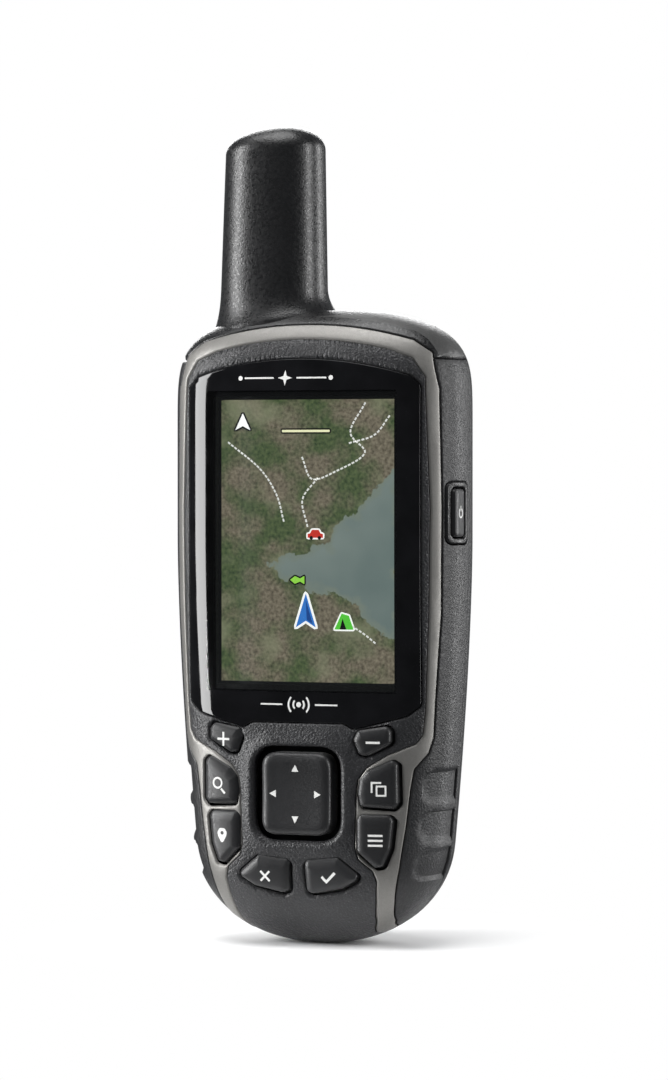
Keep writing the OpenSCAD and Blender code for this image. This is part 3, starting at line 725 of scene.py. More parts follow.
def mesh_shown(name: str, mesh: bpy.types.Mesh, smooth_deg: float = 35.0) -> bpy.types.Object:
    """Puts a mesh in the scene with smooth shading that keeps its sharp edges."""
    mesh.shade_smooth()
    mesh.set_sharp_from_angle(angle=math.radians(smooth_deg))
    made = bpy.data.objects.new(name, mesh)
    bpy.context.scene.collection.objects.link(made)
    return made


@dataclass
class Wall:
    """A stretch of a surface between closed rims, made as a solid wall."""

    surface: SkinSurface | FlatSurface
    rims: list[Rim]
    thickness: float
    base: float = 0.0
    spacing: float = 1.3
    marks: list[Array] = field(default_factory=list)
    relief: Callable[[Array], Array] | None = None
    roll_steps: int = 5

    def build(self, name: str) -> bpy.types.Object:
        """Makes the wall.

        Args:
            name: name of the piece.

        Returns:
            The object. Faces inside a mark take the second material slot.
        """
        surface = self.surface
        loops = [surface.plane(r.path) for r in self.rims]
        edge = np.vstack([r.path for r in self.rims])
        edge_xyz = surface.at(edge, self.base)
        reach = np.concatenate([np.full(len(r.path), r.reach) for r in self.rims])
        drop = np.concatenate([np.full(len(r.path), r.drop) for r in self.rims])
        tree = KDTree(len(edge))
        for i, p in enumerate(edge_xyz):
            tree.insert(p, i)
        tree.balance()

        parts, sinks = [edge], [drop]
        for k in range(1, self.roll_steps + 1):
            away = 1 - math.cos(k / self.roll_steps * math.pi / 2)
            ring = self._moved_in(edge, loops, reach * away)
            near = np.array([tree.find(p)[2] for p in surface.at(ring, self.base)])
            keep = (near > 0.9 * reach * away) & even_odd(surface.plane(ring), loops)
            parts.append(ring[keep])
            sinks.append((drop * (1 - math.sqrt(max(0.0, 1 - (1 - away) ** 2))))[keep])
        mark_start = sum(map(len, parts))
        for mark in self.marks:
            parts.append(mark)
            sinks.append(np.zeros(len(mark)))
        grid = surface.lattice(edge.min(0), edge.max(0), self.spacing)
        grid = grid[even_odd(surface.plane(grid), loops)]
        found = [tree.find(p) for p in surface.at(grid, self.base)]
        near = np.array([f[2] for f in found])
        keep = near > np.array([reach[f[1]] for f in found]) + 0.4 * self.spacing
        parts.append(grid[keep])
        sinks.append(np.zeros(int(keep.sum())))
        uv, sink = np.vstack(parts), np.concatenate(sinks)
        return self._solid(name, uv, sink, loops, mark_start)

    def _below(self, uv: Array, face: Array) -> Array:
        """Inner side of the wall; near straight rims it keeps the face's X and Z."""
        below = self.surface.at(uv, self.thickness)
        cut = [r.path for r in self.rims if r.straight]
        if not cut:
            return below
        edge = self.surface.at(np.vstack(cut), self.base)
        tree = KDTree(len(edge))
        for i, p in enumerate(edge):
            tree.insert(p, i)
        tree.balance()
        away = np.array([tree.find(p)[2] for p in face])
        share = np.clip(away / 2.5, 0, 1)[:, None]
        slid = face.copy()
        slid[:, 1] = below[:, 1]
        return slid * (1 - share) + below * share

    def _moved_in(self, edge: Array, loops: list[Array], away: Array) -> Array:
        """Edge points moved inwards along the surface by a distance each."""
        surface, h = self.surface, 0.02
        here = surface.at(edge, self.base)
        along_u = (surface.at(edge + [h, 0], self.base) - here) / h
        along_v = (surface.at(edge + [0, h], self.base) - here) / h
        normal = np.cross(along_u, along_v)
        tangents, start = [], 0
        for r in self.rims:
            part = here[start:start + len(r.path)]
            tangents.append(np.roll(part, -1, 0) - np.roll(part, 1, 0))
            start += len(r.path)
        inwards = np.cross(normal, np.vstack(tangents))
        inwards /= np.linalg.norm(inwards, axis=1)[:, None] + 1e-12
        uu, uv, vv = (np.sum(a * b, axis=1) for a, b in
                      ((along_u, along_u), (along_u, along_v), (along_v, along_v)))
        ru, rv = np.sum(along_u * inwards, axis=1), np.sum(along_v * inwards, axis=1)
        det = uu * vv - uv ** 2 + 1e-9
        step = np.stack([(vv * ru - uv * rv) / det, (uu * rv - uv * ru) / det], axis=-1)
        trial = even_odd(surface.plane(edge + step * 0.05), loops)
        return edge + step * np.where(trial, away, -away)[:, None]

    def _solid(self, name: str, uv: Array, sink: Array, loops: list[Array],
               mark_start: int) -> bpy.types.Object:
        """Triangulates the points and closes them into a wall; the marks' points begin at mark_start."""
        surface = self.surface
        plane = surface.plane(uv)
        joins, start = [], 0
        for loop in loops:
            joins += [(start + i, start + (i + 1) % len(loop)) for i in range(len(loop))]
            start += len(loop)
        start = mark_start
        for mark in self.marks:
            joins += [(start + i, start + (i + 1) % len(mark)) for i in range(len(mark))]
            start += len(mark)
        made = delaunay_2d_cdt([Vector(p) for p in plane], joins, [], 0, 1e-7)
        first = np.array([ids[0] if ids else -1 for ids in made[3]])
        tris = first[np.array(made[2])]
        tris = tris[(tris >= 0).all(1)]
        tris = tris[even_odd(plane[tris].mean(1), loops)]
        outer = surface.at(uv, self.base + sink)
        if self.relief:
            outer = surface.at(uv, self.base + sink + self.relief(outer))
        below = self._below(uv, surface.at(uv, self.base))
        a, b, c = (outer[tris[:, k]] for k in range(3))
        facing = np.cross(b - a, c - a)
        if np.sum(facing * (a - below[tris[:, 0]])) < 0:
            tris = tris[:, ::-1]
        count = len(uv)
        seen = {(int(t[i]), int(t[(i + 1) % 3])) for t in tris for i in range(3)}
        walls = [(j, i, i + count, j + count) for i, j in seen if (j, i) not in seen]
        faces = [tuple(t) for t in tris] + [tuple(t[::-1] + count) for t in tris] + walls
        obj = mesh_object(name, np.vstack([outer, below]), faces)
        if self.marks:
            inside = even_odd(plane[tris].mean(1), [surface.plane(m) for m in self.marks])
            index = np.concatenate([inside, inside, np.zeros(len(walls), bool)]).astype(np.int32)
            obj.data.polygons.foreach_set("material_index", index[:len(obj.data.polygons)])
        bm = bmesh.new()
        bm.from_mesh(obj.data)
        bmesh.ops.delete(bm, geom=[p for p in bm.verts if not p.link_faces], context="VERTS")
        bm.to_mesh(obj.data)
        bm.free()
        return obj


# ---------------------------------------------------------------- other mesh makers


def turned(name: str, profile: Sequence[Sequence[float]], centre: Sequence[float], axis: str = "Y",
           count: int = 96) -> bpy.types.Object:
    """Turns a closed profile round an axis.

    Args:
        name: name of the piece.
        profile: closed outline of radius and way along the axis, in millimetres.
        centre: the two other coordinates of the axis.
        axis: X, Y or Z.
        count: facets round.

    Returns:
        The object.
    """
    pts = np.array(profile, float)
    area = np.sum(pts[:, 0] * np.roll(pts[:, 1], -1) - np.roll(pts[:, 0], -1) * pts[:, 1])
    pts = pts if area > 0 else pts[::-1]
    n = len(pts)
    rings = []
    for a in np.linspace(0, 2 * math.pi, count, endpoint=False):
        p, q = pts[:, 0] * math.cos(a), pts[:, 0] * math.sin(a)
        order = {"X": (pts[:, 1], p + centre[0], q + centre[1]),
                 "Y": (q + centre[0], pts[:, 1], p + centre[1]),
                 "Z": (p + centre[0], q + centre[1], pts[:, 1])}[axis]
        rings.append(np.stack(order, axis=-1))
    faces = [(k * n + i, ((k + 1) % count) * n + i, ((k + 1) % count) * n + (i + 1) % n, k * n + (i + 1) % n)
             for k in range(count) for i in range(n)]
    obj = mesh_object(name, np.vstack(rings), faces)
    return tidied(obj)


def tidied(obj: bpy.types.Object, smooth_deg: float = 35.0) -> bpy.types.Object:
    """Merges doubled points, drops empty faces and turns the faces outwards."""
    bm = bmesh.new()
    bm.from_mesh(obj.data)
    bmesh.ops.remove_doubles(bm, verts=bm.verts, dist=0.002 * MM)
    bmesh.ops.dissolve_degenerate(bm, dist=0.001 * MM, edges=bm.edges)
    bmesh.ops.recalc_face_normals(bm, faces=bm.faces)
    bm.to_mesh(obj.data)
    bm.free()
    obj.data.shade_smooth()
    obj.data.set_sharp_from_angle(angle=math.radians(smooth_deg))
    return obj


def rounded_profile(points: Sequence[Sequence[float]], r: float) -> Array:
    """Closed profile with small arcs at its corners."""
    corners = np.array(points, float)
    made = []
    for i, here in enumerate(corners):
        back, ahead = corners[i - 1] - here, corners[(i + 1) % len(corners)] - here
        lengths = np.linalg.norm(back), np.linalg.norm(ahead)
        run = min(r, 0.45 * min(lengths)) if here[0] > 0.01 else 0.0
        k = np.linspace(0, 1, 5 if run else 1)[:, None]
        start, end = here + back / lengths[0] * run, here + ahead / lengths[1] * run
        made.append((1 - k) ** 2 * start + 2 * k * (1 - k) * here + k ** 2 * end)
    return np.vstack(made)


def prism(name: str, path: Array, y0: float, y1: float, bevel: float = 0.1) -> bpy.types.Object:
    """Outline in X and Z carried along Y, its rims rounded."""
    wall = Wall(FlatSurface((0, y0, 0)), [Rim(path, bevel, bevel)], y1 - y0, spacing=4, roll_steps=3)
    return wall.build(name)


def tube(name: str, path: Array, radius: float, closed: bool = False, count: int = 16) -> bpy.types.Object:
    """Round wire along a path of points."""
    ahead = np.roll(path, -1, 0) - np.roll(path, 1, 0)
    if not closed:
        ahead[0], ahead[-1] = path[1] - path[0], path[-1] - path[-2]
    ahead /= np.linalg.norm(ahead, axis=1)[:, None]
    side = np.cross(ahead[0], [0.3, 0.5, 0.8])
    rings = []
    for p, t in zip(path, ahead):
        side = side - t * (side @ t)
        side /= np.linalg.norm(side)
        up = np.cross(t, side)
        a = np.linspace(0, 2 * math.pi, count, endpoint=False)[:, None]
        rings.append(p + radius * (np.cos(a) * side + np.sin(a) * up))
    n = len(path)
    faces = [(k * count + i, k * count + (i + 1) % count, ((k + 1) % n) * count + (i + 1) % count,
              ((k + 1) % n) * count + i) for k in range(n if closed else n - 1) for i in range(count)]
    if not closed:
        faces += [tuple(reversed(range(count))), tuple((n - 1) * count + i for i in range(count))]
    return tidied(mesh_object(name, np.vstack(rings), faces))


def joined(name: str, pieces: Sequence[bpy.types.Object]) -> bpy.types.Object:
    """Joins pieces into one mesh under a new name, keeping their materials."""
    slots: list[bpy.types.Material] = []
    bm = bmesh.new()
    for piece in pieces:
        before = len(bm.faces)
        own = list(piece.data.materials)
        bm.from_mesh(piece.data)
        bm.faces.ensure_lookup_table()
        for face in bm.faces[before:]:
            if own:
                material = own[min(face.material_index, len(own) - 1)]
                if material not in slots:
                    slots.append(material)
                face.material_index = slots.index(material)
    mesh = bpy.data.meshes.new(name)
    bm.to_mesh(mesh)
    bm.free()
    for piece in pieces:
        bpy.data.objects.remove(piece)
    for material in slots:
        mesh.materials.append(material)
    return mesh_shown(name, mesh)


def softened(name: str, node: str, bevel: float, segments: int = 2, angle: float = 40.0) -> bpy.types.Object:
    """A CAD node's shape with its hard edges rounded.

    Args:
        name: name of the new piece.
        node: CAD node to copy.
        bevel: size of the rounding in millimetres.
        segments: steps across the rounding.
        angle: edges sharper than this are rounded.

    Returns:
        The object.
    """
    bm = bmesh.new()
    bm.from_mesh(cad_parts[node].data)
    bmesh.ops.remove_doubles(bm, verts=bm.verts, dist=0.002 * MM)
    bmesh.ops.dissolve_limit(bm, angle_limit=math.radians(1), verts=bm.verts, edges=bm.edges)
    hard = [e for e in bm.edges if len(e.link_faces) == 2 and e.calc_face_angle(0) > math.radians(angle)]
    bmesh.ops.bevel(bm, geom=hard, offset=bevel * MM, segments=segments, affect="EDGES", clamp_overlap=True,
                    profile=0.5)
    bmesh.ops.triangulate(bm, faces=[f for f in bm.faces if len(f.verts) > 4])
    mesh = bpy.data.meshes.new(name)
    bm.to_mesh(mesh)
    bm.free()
    return mesh_shown(name, mesh, 50)


def under_layer(name: str, node: str, inset: float) -> bpy.types.Object:
    """The part of a shell's CAD node that lies below an inset of the skin.

    Args:
        name: name of the new piece.
        node: CAD node to copy.
        inset: depth below the skin in millimetres.

    Returns:
        The object.
    """
    round_count, levels = 96, 40
    s = np.linspace(0, 2 * CASE.half_turn, round_count, endpoint=False)
    rows = np.linspace(0.0, CASE.top_v, levels)
    points = np.vstack([CASE.skin(s, np.full_like(s, v), inset) for v in rows])
    faces: list[tuple[int, ...]] = [tuple(reversed(range(round_count))),
                                    tuple((levels - 1) * round_count + i for i in range(round_count))]
    for k in range(levels - 1):
        for i in range(round_count):
            j = (i + 1) % round_count
            faces.append((k * round_count + i, k * round_count + j, (k + 1) * round_count + j,
                          (k + 1) * round_count + i))
    cutter = tidied(mesh_object(name + "_form", points, faces))
    bm = bmesh.new()
    bm.from_mesh(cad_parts[node].data)
    bmesh.ops.remove_doubles(bm, verts=bm.verts, dist=0.002 * MM)
    mesh = bpy.data.meshes.new(name)
    bm.to_mesh(mesh)
    bm.free()
    whole = mesh_shown(name + "_whole", mesh)
    cut = whole.modifiers.new("form", "BOOLEAN")
    cut.operation, cut.solver, cut.object = "INTERSECT", "EXACT", cutter
    made = bpy.data.meshes.new_from_object(whole.evaluated_get(bpy.context.evaluated_depsgraph_get()))
    for used in (whole, cutter):
        bpy.data.objects.remove(used)
    return mesh_shown(name, made, 30)


def dress(obj: bpy.types.Object, *finishes: object, body: str = ROOT, slot: str | None = None,
          stands_for: Sequence[str] = ()) -> bpy.types.Object:
    """Gives a piece its finish and body, and hides the nodes that it stands for.

    Args:
        obj: the piece.
        finishes: finish of each material slot, or none to keep the mesh's own.
        body: CAD body that the piece rides on.
        slot: not used.
        stands_for: CAD nodes that the piece replaces.

    Returns:
        The piece.
    """
    for finish in finishes:
        obj.data.materials.append(finish.material())
    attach(obj, body)
    if stands_for:
        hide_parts(*stands_for)
    log.info("%s: %d faces on %s", obj.name, len(obj.data.polygons), body)
    return obj


def painted(node: str, finish: object) -> None:
    """Gives a CAD node that stays visible its finish."""
    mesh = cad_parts[node].data
    mesh.materials.clear()
    mesh.materials.append(finish.material())
    log.info("%s keeps its CAD shape", node)


def tinted(obj: bpy.types.Object, finish: object) -> bpy.types.Object:
    """Sets a loose part's finish before it is joined to others."""
    obj.data.materials.clear()
    obj.data.materials.append(finish.material())
    return obj


# ---------------------------------------------------------------- what repeats: Geometry Nodes


class NodeMaker:
    """A Geometry Nodes tree built step by step, then run once and turned into a plain mesh."""

    def __init__(self, name: str) -> None:
        """Starts an empty tree."""
        self.tree = bpy.data.node_groups.new(name, "GeometryNodeTree")
        self.name = name
        self.values: dict[str, object] = {}
        self.tree.interface.new_socket("Geometry", in_out="OUTPUT", socket_type="NodeSocketGeometry")
        self.source = self.tree.nodes.new("NodeGroupInput")

    def size(self, label: str, value: object, kind: str = "NodeSocketFloat") -> bpy.types.NodeSocket:
        """Adds a named input with its value and returns the socket to link from."""
        made = self.tree.interface.new_socket(label, in_out="INPUT", socket_type=kind)
        self.values[made.identifier] = value
        return self.source.outputs[label]

    def add(self, kind: str, /, props: dict | None = None, **sockets: object) -> bpy.types.Node:
        """Adds a node; an underscore in a socket's name stands for a space, and _0 is socket 0."""
        node = self.tree.nodes.new(kind)
        for key, value in (props or {}).items():
            setattr(node, key, value)
        for key, value in sockets.items():
            socket = node.inputs[int(key[1:]) if key[1:].isdigit() else key.replace("_", " ")]
            if isinstance(value, bpy.types.NodeSocket):
                self.tree.links.new(value, socket)
            else:
                socket.default_value = value
        return node

    def run(self, geometry: bpy.types.NodeSocket, finish: object, carrier: bpy.types.Object | None = None
            ) -> bpy.types.Object:
        """Ends the tree and evaluates it.

        Args:
            geometry: what the tree has made.
            finish: finish of the whole piece.
            carrier: object whose mesh is the tree's input, if it takes one.

        Returns:
            A plain object named after the tree.
        """
        real = self.add("GeometryNodeRealizeInstances", Geometry=geometry)
        coated = self.add("GeometryNodeSetMaterial", Geometry=real.outputs[0], Material=finish.material())
        end = self.tree.nodes.new("NodeGroupOutput")
        self.tree.links.new(coated.outputs[0], end.inputs[0])
        host = carrier or bpy.data.objects.new(self.name + "_host", bpy.data.meshes.new(self.name + "_host"))
        if carrier is None:
            bpy.context.scene.collection.objects.link(host)
        modifier = host.modifiers.new(self.name, "NODES")
        modifier.node_group = self.tree
        for identifier, value in self.values.items():
            modifier[identifier] = value
        graph = bpy.context.evaluated_depsgraph_get()
        mesh = bpy.data.meshes.new_from_object(host.evaluated_get(graph))
        mesh.name = self.name
        host.modifiers.remove(modifier)
        bpy.data.objects.remove(host)
        return tidied(mesh_shown(self.name, mesh))


def wire_coil(name: str, centre: Sequence[float], turns: float, radii: tuple[float, float], rise: float,
              wire: float, finish: object, flat: float = 1.0) -> bpy.types.Object:
    """A coil of wire or strip along Z.

    Args:
        name: name of the piece.
        centre: middle of the coil's start, in millimetres.
        turns: number of turns.
        radii: radius at the start and at the end.
        rise: height, negative for a coil that runs down.
        wire: radius of the wire.
        finish: the finish.
        flat: thickness of the strip divided by its width.

    Returns:
        The object.
    """
    g = NodeMaker(name)
    spiral = g.add("GeometryNodeCurveSpiral", Resolution=36, Rotations=g.size("Turns", turns),
                   Start_Radius=g.size("Start Radius", radii[0] * MM),
                   End_Radius=g.size("End Radius", radii[1] * MM),
                   Height=g.size("Height", rise * MM))
    if turns < 1:
        spiral.inputs["Resolution"].default_value = 160
    ring = g.add("GeometryNodeCurvePrimitiveCircle", Resolution=12, Radius=g.size("Wire Radius", wire * MM))
    thin = g.add("GeometryNodeTransform", Geometry=ring.outputs[0], Scale=(flat, 1, 1))
    solid = g.add("GeometryNodeCurveToMesh", Curve=spiral.outputs[0], Profile_Curve=thin.outputs[0],
                  Fill_Caps=True)
    where = g.size("Centre", [c * MM for c in centre], "NodeSocketVector")
    return g.run(g.add("GeometryNodeTransform", Geometry=solid.outputs[0], Translation=where).outputs[0],
                 finish)


def spread_along(name: str, path: Array, stamp: bpy.types.Object, spacing: float, finish: object
                 ) -> bpy.types.Object:
    """Copies of a small piece along a path, each turned to follow it.

    Args:
        name: name of the piece.
        path: points of an open path, in millimetres.
        stamp: piece to copy, modelled along +X round the origin; it is used up.
        spacing: distance between copies.
        finish: the finish.

    Returns:
        The object.
    """
    mesh = bpy.data.meshes.new(name + "_path")
    mesh.from_pydata((path * MM).tolist(), [(i, i + 1) for i in range(len(path) - 1)], [])
    carrier = bpy.data.objects.new(name + "_path", mesh)
    bpy.context.scene.collection.objects.link(carrier)
    g = NodeMaker(name)
    g.tree.interface.new_socket("Geometry", in_out="INPUT", socket_type="NodeSocketGeometry")
    curve = g.add("GeometryNodeMeshToCurve", Mesh=g.source.outputs["Geometry"])
    even = g.add("GeometryNodeCurveToPoints", {"mode": "LENGTH"}, Curve=curve.outputs[0],
                 Length=g.size("Spacing", spacing * MM))
    turn = g.add("FunctionNodeAlignRotationToVector", {"axis": "X", "pivot_axis": "Y"},
                 Vector=even.outputs["Tangent"])
    piece = g.add("GeometryNodeObjectInfo", Object=g.size("Stamp", stamp, "NodeSocketObject"))
    placed = g.add("GeometryNodeInstanceOnPoints", Points=even.outputs[0], Instance=piece.outputs["Geometry"],
                   Rotation=turn.outputs[0])
    made = g.run(placed.outputs[0], finish, carrier)
    bpy.data.objects.remove(stamp)
    return made


# ---------------------------------------------------------------- sub-assemblies


@dataclass
class CaseShell:
    """Front fascia, silver loop with its wings, side strips, top housing and rear case."""

    split_y: float = -1.0
    seam_z: float = 113.8
    seam_y: float = 2.0
    tip_z: float = 2.7
    gap: float = 0.12
    layer: float = 1.3
    pad_levels: tuple[float, ...] = (16.4, 23.8, 31.6)
    loop_outer: list[list[float]] = field(default_factory=lambda: crown(120.6, 78, 22) + [
        [25.6, 115], [27.2, 108], [27.6, 85], [27.4, 65], [26.3, 48], [25.9, 41], [25.1, 38], [22.8, 35],
        [22.2, 31.5], [21.3, 24], [20, 16], [18.3, 9], [17.0, 5.2], [14.8, 2.9]])
    loop_inner: list[list[float]] = field(default_factory=lambda: crown(117.8, 77, 18) + [
        [22.5, 114], [25, 110.3], [25.9, 85], [25.6, 65], [24.9, 46], [24.4, 41.5], [23.2, 39.8], [18, 37.6],
        [14.2, 35.2], [12.5, 33], [12.1, 30.5], [11.8, 20], [12.4, 17.6], [15.2, 15.3], [15.8, 13.2],
        [15.2, 9], [14.2, 5], [12.4, 2.1]])

    def under_foot(self, y: float, start: float) -> Array:
        """Line of constant Y under the foot, from that level to the rear centre, as s and v."""
        way, _, unit_y = CASE.ring
        uy0 = (y - CASE.axis_y) / (CASE.rear_depth * float(CASE.share_at(np.array(start))))
        s = np.linspace(float(np.interp(uy0, unit_y, way)), CASE.half_turn, 60)
        share = (y - CASE.axis_y) / (CASE.rear_depth * np.interp(s, way, unit_y))
        z = CASE.foot_z * (1 - np.clip(1 - share ** 2.4, 0, 1) ** (1 / 2.4))
        return np.stack([s, CASE.height(z)], axis=-1)

    def over_top(self, y: float, start: float) -> Array:
        """Line of constant Y over the shoulder, from that level to the rear centre, as s and v."""
        way, _, unit_y = CASE.ring
        uy0 = (y - CASE.axis_y) / (CASE.rear_depth * float(CASE.share_at(np.array(start))))
        s = np.linspace(float(np.interp(uy0, unit_y, way)), CASE.half_turn, 60)
        share = (y - CASE.axis_y) / (CASE.rear_depth * np.interp(s, way, unit_y))
        z = CASE.shoulder_z + (CASE.top - CASE.shoulder_z) * np.clip(1 - share ** 2, 0, 1) ** (1 / 3.4)
        return np.stack([s, CASE.height(z)], axis=-1)

    def side_line(self, y: float, z0: float, z1: float) -> Array:
        """Line of constant Y up the right side, as s and v."""
        z = np.linspace(z0, z1, 160)
        return CASE.from_side(np.stack([np.full_like(z, y), z], axis=-1), 1)

    def fascia(self, keys: "KeyField", window: "WindowStack", rocker: "Rocker") -> None:
        """Builds the grained front between the silver loop's legs and round under the foot."""
        inner = resampled(np.array(self.loop_inner), 0.35, closed=False)
        inner[:, 0] -= self.gap
        right = CASE.from_front(inner)
        tip = CASE.from_front(np.array([[self.loop_outer[-1][0], self.loop_outer[-1][1] - 0.3]]))
        under = self.under_foot(self.split_y, self.tip_z)
        half = np.vstack([right, tip, under])
        left = half[::-1] * [-1, 1]
        outline = resampled_round(np.vstack([half, left]), 0.4)
        rims = [Rim(outline, 0.2, 0.2), Rim(CASE.from_front(grown(window.outline(), 0.18)), 0.35, 0.3),
                Rim(CASE.from_front(rocker.well()), 1.1, 0.9, straight=True)]
        for place in keys.places():
            if not place.on_wing:
                rims.append(Rim(CASE.from_front(grown(place.path, 0.32)), 0.55, 0.5, straight=True))
        wall = Wall(SkinSurface(Chart.FOOT), rims, self.layer, spacing=1.0, relief=rocker.mound)
        skin = tinted(wall.build("fascia_skin"), FASCIA)
        under_skin = tinted(under_layer("fascia_under", "front_case", self.layer - 0.02), INNER_BLACK)
        dress(joined("front_fascia", [skin, under_skin]), slot="fascia_plastic", stands_for=["front_case"])

    def silver_loop(self, keys: "KeyField") -> None:
        """Builds the silver loop and the wings that frame the side keys."""
        outer, inner = np.array(self.loop_outer), np.array(self.loop_inner)
        flip = np.array([-1, 1])
        band = np.vstack([outer[::-1] * flip, outer, inner[::-1], inner * flip])
        rims = [Rim(CASE.from_front(rounded(band, 1.0)), 0.42, 0.36)]
        for place in keys.places():
            if place.on_wing:
                rims.append(Rim(CASE.from_front(grown(place.path, 0.32)), 0.4, 0.36, straight=True))
        loop = Wall(SkinSurface(), rims, 1.0, base=-0.1, spacing=1.0).build("silver_loop")
        dress(loop, SILVER, slot="silver_trim", stands_for=["silver_bezel"])

    def pad_relief(self, points: Array) -> Array:
        """Depth of the three thumb pads at each point."""
        depth = np.zeros(len(points))
        for level in self.pad_levels:
            out = (np.maximum(np.abs(points[:, 1] + 4.2) - 5.2, 0),
                   np.maximum(np.abs(points[:, 2] - level) - 0.9, 0))
            away = np.hypot(*out) - 2.0
            depth = np.maximum(depth, 0.55 * np.clip(0.5 - away / 0.5, 0, 1))
        return depth

    def side_strips(self, button: "PowerButton") -> None:
        """Builds the two soft side strips."""
        outer = np.array([p for p in self.loop_outer if p[1] < self.seam_z])
        start = np.array([[25.9, self.seam_z]])
        front = resampled(np.vstack([start, outer]), 0.4, closed=False) + [self.gap, 0]
        tip_s = float(CASE.from_front(front[-1:])[0, 0])
        back = self.side_line(self.split_y, self.tip_z, self.seam_z)
        foot = np.array([[tip_s, float(CASE.height(np.array(self.tip_z)))]])
        path = resampled(np.vstack([CASE.from_front(front), foot, back]), 0.4)
        for side, name in ((1, "right"), (-1, "left")):
            rims = [Rim(path * [side, 1], 0.3, 0.28)]
            if side > 0:
                rims.append(Rim(CASE.from_side(button.collar_path(), side), 0.25, 0.2))
            wall = Wall(SkinSurface(), rims, 1.4, spacing=0.55, relief=self.pad_relief)
            dress(wall.build(f"side_strip_{name}"), SIDE_GRAIN, slot="grip_rubber",
                  stands_for=[f"side_grip_{name}"])

    def top_housing(self, stub: "AntennaStub") -> None:
        """Builds the top of the case with the antenna stub that grows out of it."""
        ridge = np.array([p for p in self.loop_outer if p[1] > self.seam_z] + [[25.9, self.seam_z]])
        front = resampled(ridge, 0.4, closed=False) + [self.gap * 0.7, self.gap]
        front[-1, 1] = self.seam_z
        start = CASE.from_side(np.array([[self.seam_y, self.seam_z]]), 1)
        over = self.over_top(self.seam_y, self.seam_z)
        half = np.vstack([CASE.from_front(front), start, over])
        outline = resampled_round(np.vstack([half, half[::-1] * [-1, 1]]), 0.35)
        x = np.linspace(0.6, 24.2, 60)
        ridge_line = np.stack([x, np.interp(x, front[:, 0], front[:, 1]) + 1.5], axis=-1)
        corner = CASE.from_front(np.array([[26.6, self.seam_z + 0.6]]))
        ridge_back = self.over_top(self.seam_y - 0.5, self.seam_z + 0.6)
        ridge_back = ridge_back[CASE.skin(ridge_back[:, 0], ridge_back[:, 1])[:, 0] > 0.6]
        # The mark outlines the right half of the top face, from 1.5 mm behind the front edge back to the
        # seam; its faces take a painted highlight, a lighter grey that stands in for light falling on the
        # top.
        lip = resampled(np.vstack([CASE.from_front(ridge_line), corner, ridge_back]), 0.6)
        wall = Wall(SkinSurface(Chart.CROWN), [Rim(outline, 0.3, 0.25)], 2.2, spacing=0.9, marks=[lip])
        skin = wall.build("top_skin")
        for finish in (CASE_BLACK, TOP_PAINTED_HIGHLIGHT):
            skin.data.materials.append(finish.material())
        pole = tinted(stub.form("stub"), CASE_BLACK)
        dress(joined("top_housing", [skin, pole]), slot="case_plastic", stands_for=["antenna_housing"])

    def rear(self, back: "RearDoor", ports: "PortCaps", screws: "Fasteners") -> None:
        """Builds the rear case with its openings."""
        full = 2 * CASE.half_turn
        under = self.under_foot(self.split_y, 3.0)
        side = self.side_line(self.split_y, self.seam_z, 3.0)
        over = self.over_top(self.seam_y + 0.1, self.seam_z)[::-1]
        half = np.vstack([over, side[:-1], under])
        outline = resampled(np.vstack([half, half[::-1] * [-1, 1] + [full, 0]]), 0.4)
        holes = [back.opening(), *ports.openings(), *screws.holes()]
        rims = [Rim(outline, 0.35, 0.3)] + [Rim(CASE.from_rear(h), 0.35, 0.3) for h in holes]
        skin = tinted(Wall(SkinSurface(), rims, 1.2, spacing=1.4).build("rear_skin"), SIDE_GRAIN)
        inner = tinted(under_layer("rear_under", "rear_case", 1.18), CASE_BLACK)
        dress(joined("rear_shell", [skin, inner]), slot="case_plastic", stands_for=["rear_case"])


def resampled_round(path: Array, step: float) -> Array:
    """Even points along an outline that passes behind the case, where s jumps by a full turn.

    The two ends of each half meet at the rear centre, so a repeated point there is dropped.
    """
    keep = [0]
    for i in range(1, len(path)):
        same = CASE.skin(path[i:i + 1, 0], path[i:i + 1, 1]) - CASE.skin(path[keep[-1]:keep[-1] + 1, 0],
                                                                        path[keep[-1]:keep[-1] + 1, 1])
        if np.linalg.norm(same) > step * 0.5:
            keep.append(i)
    return path[keep]


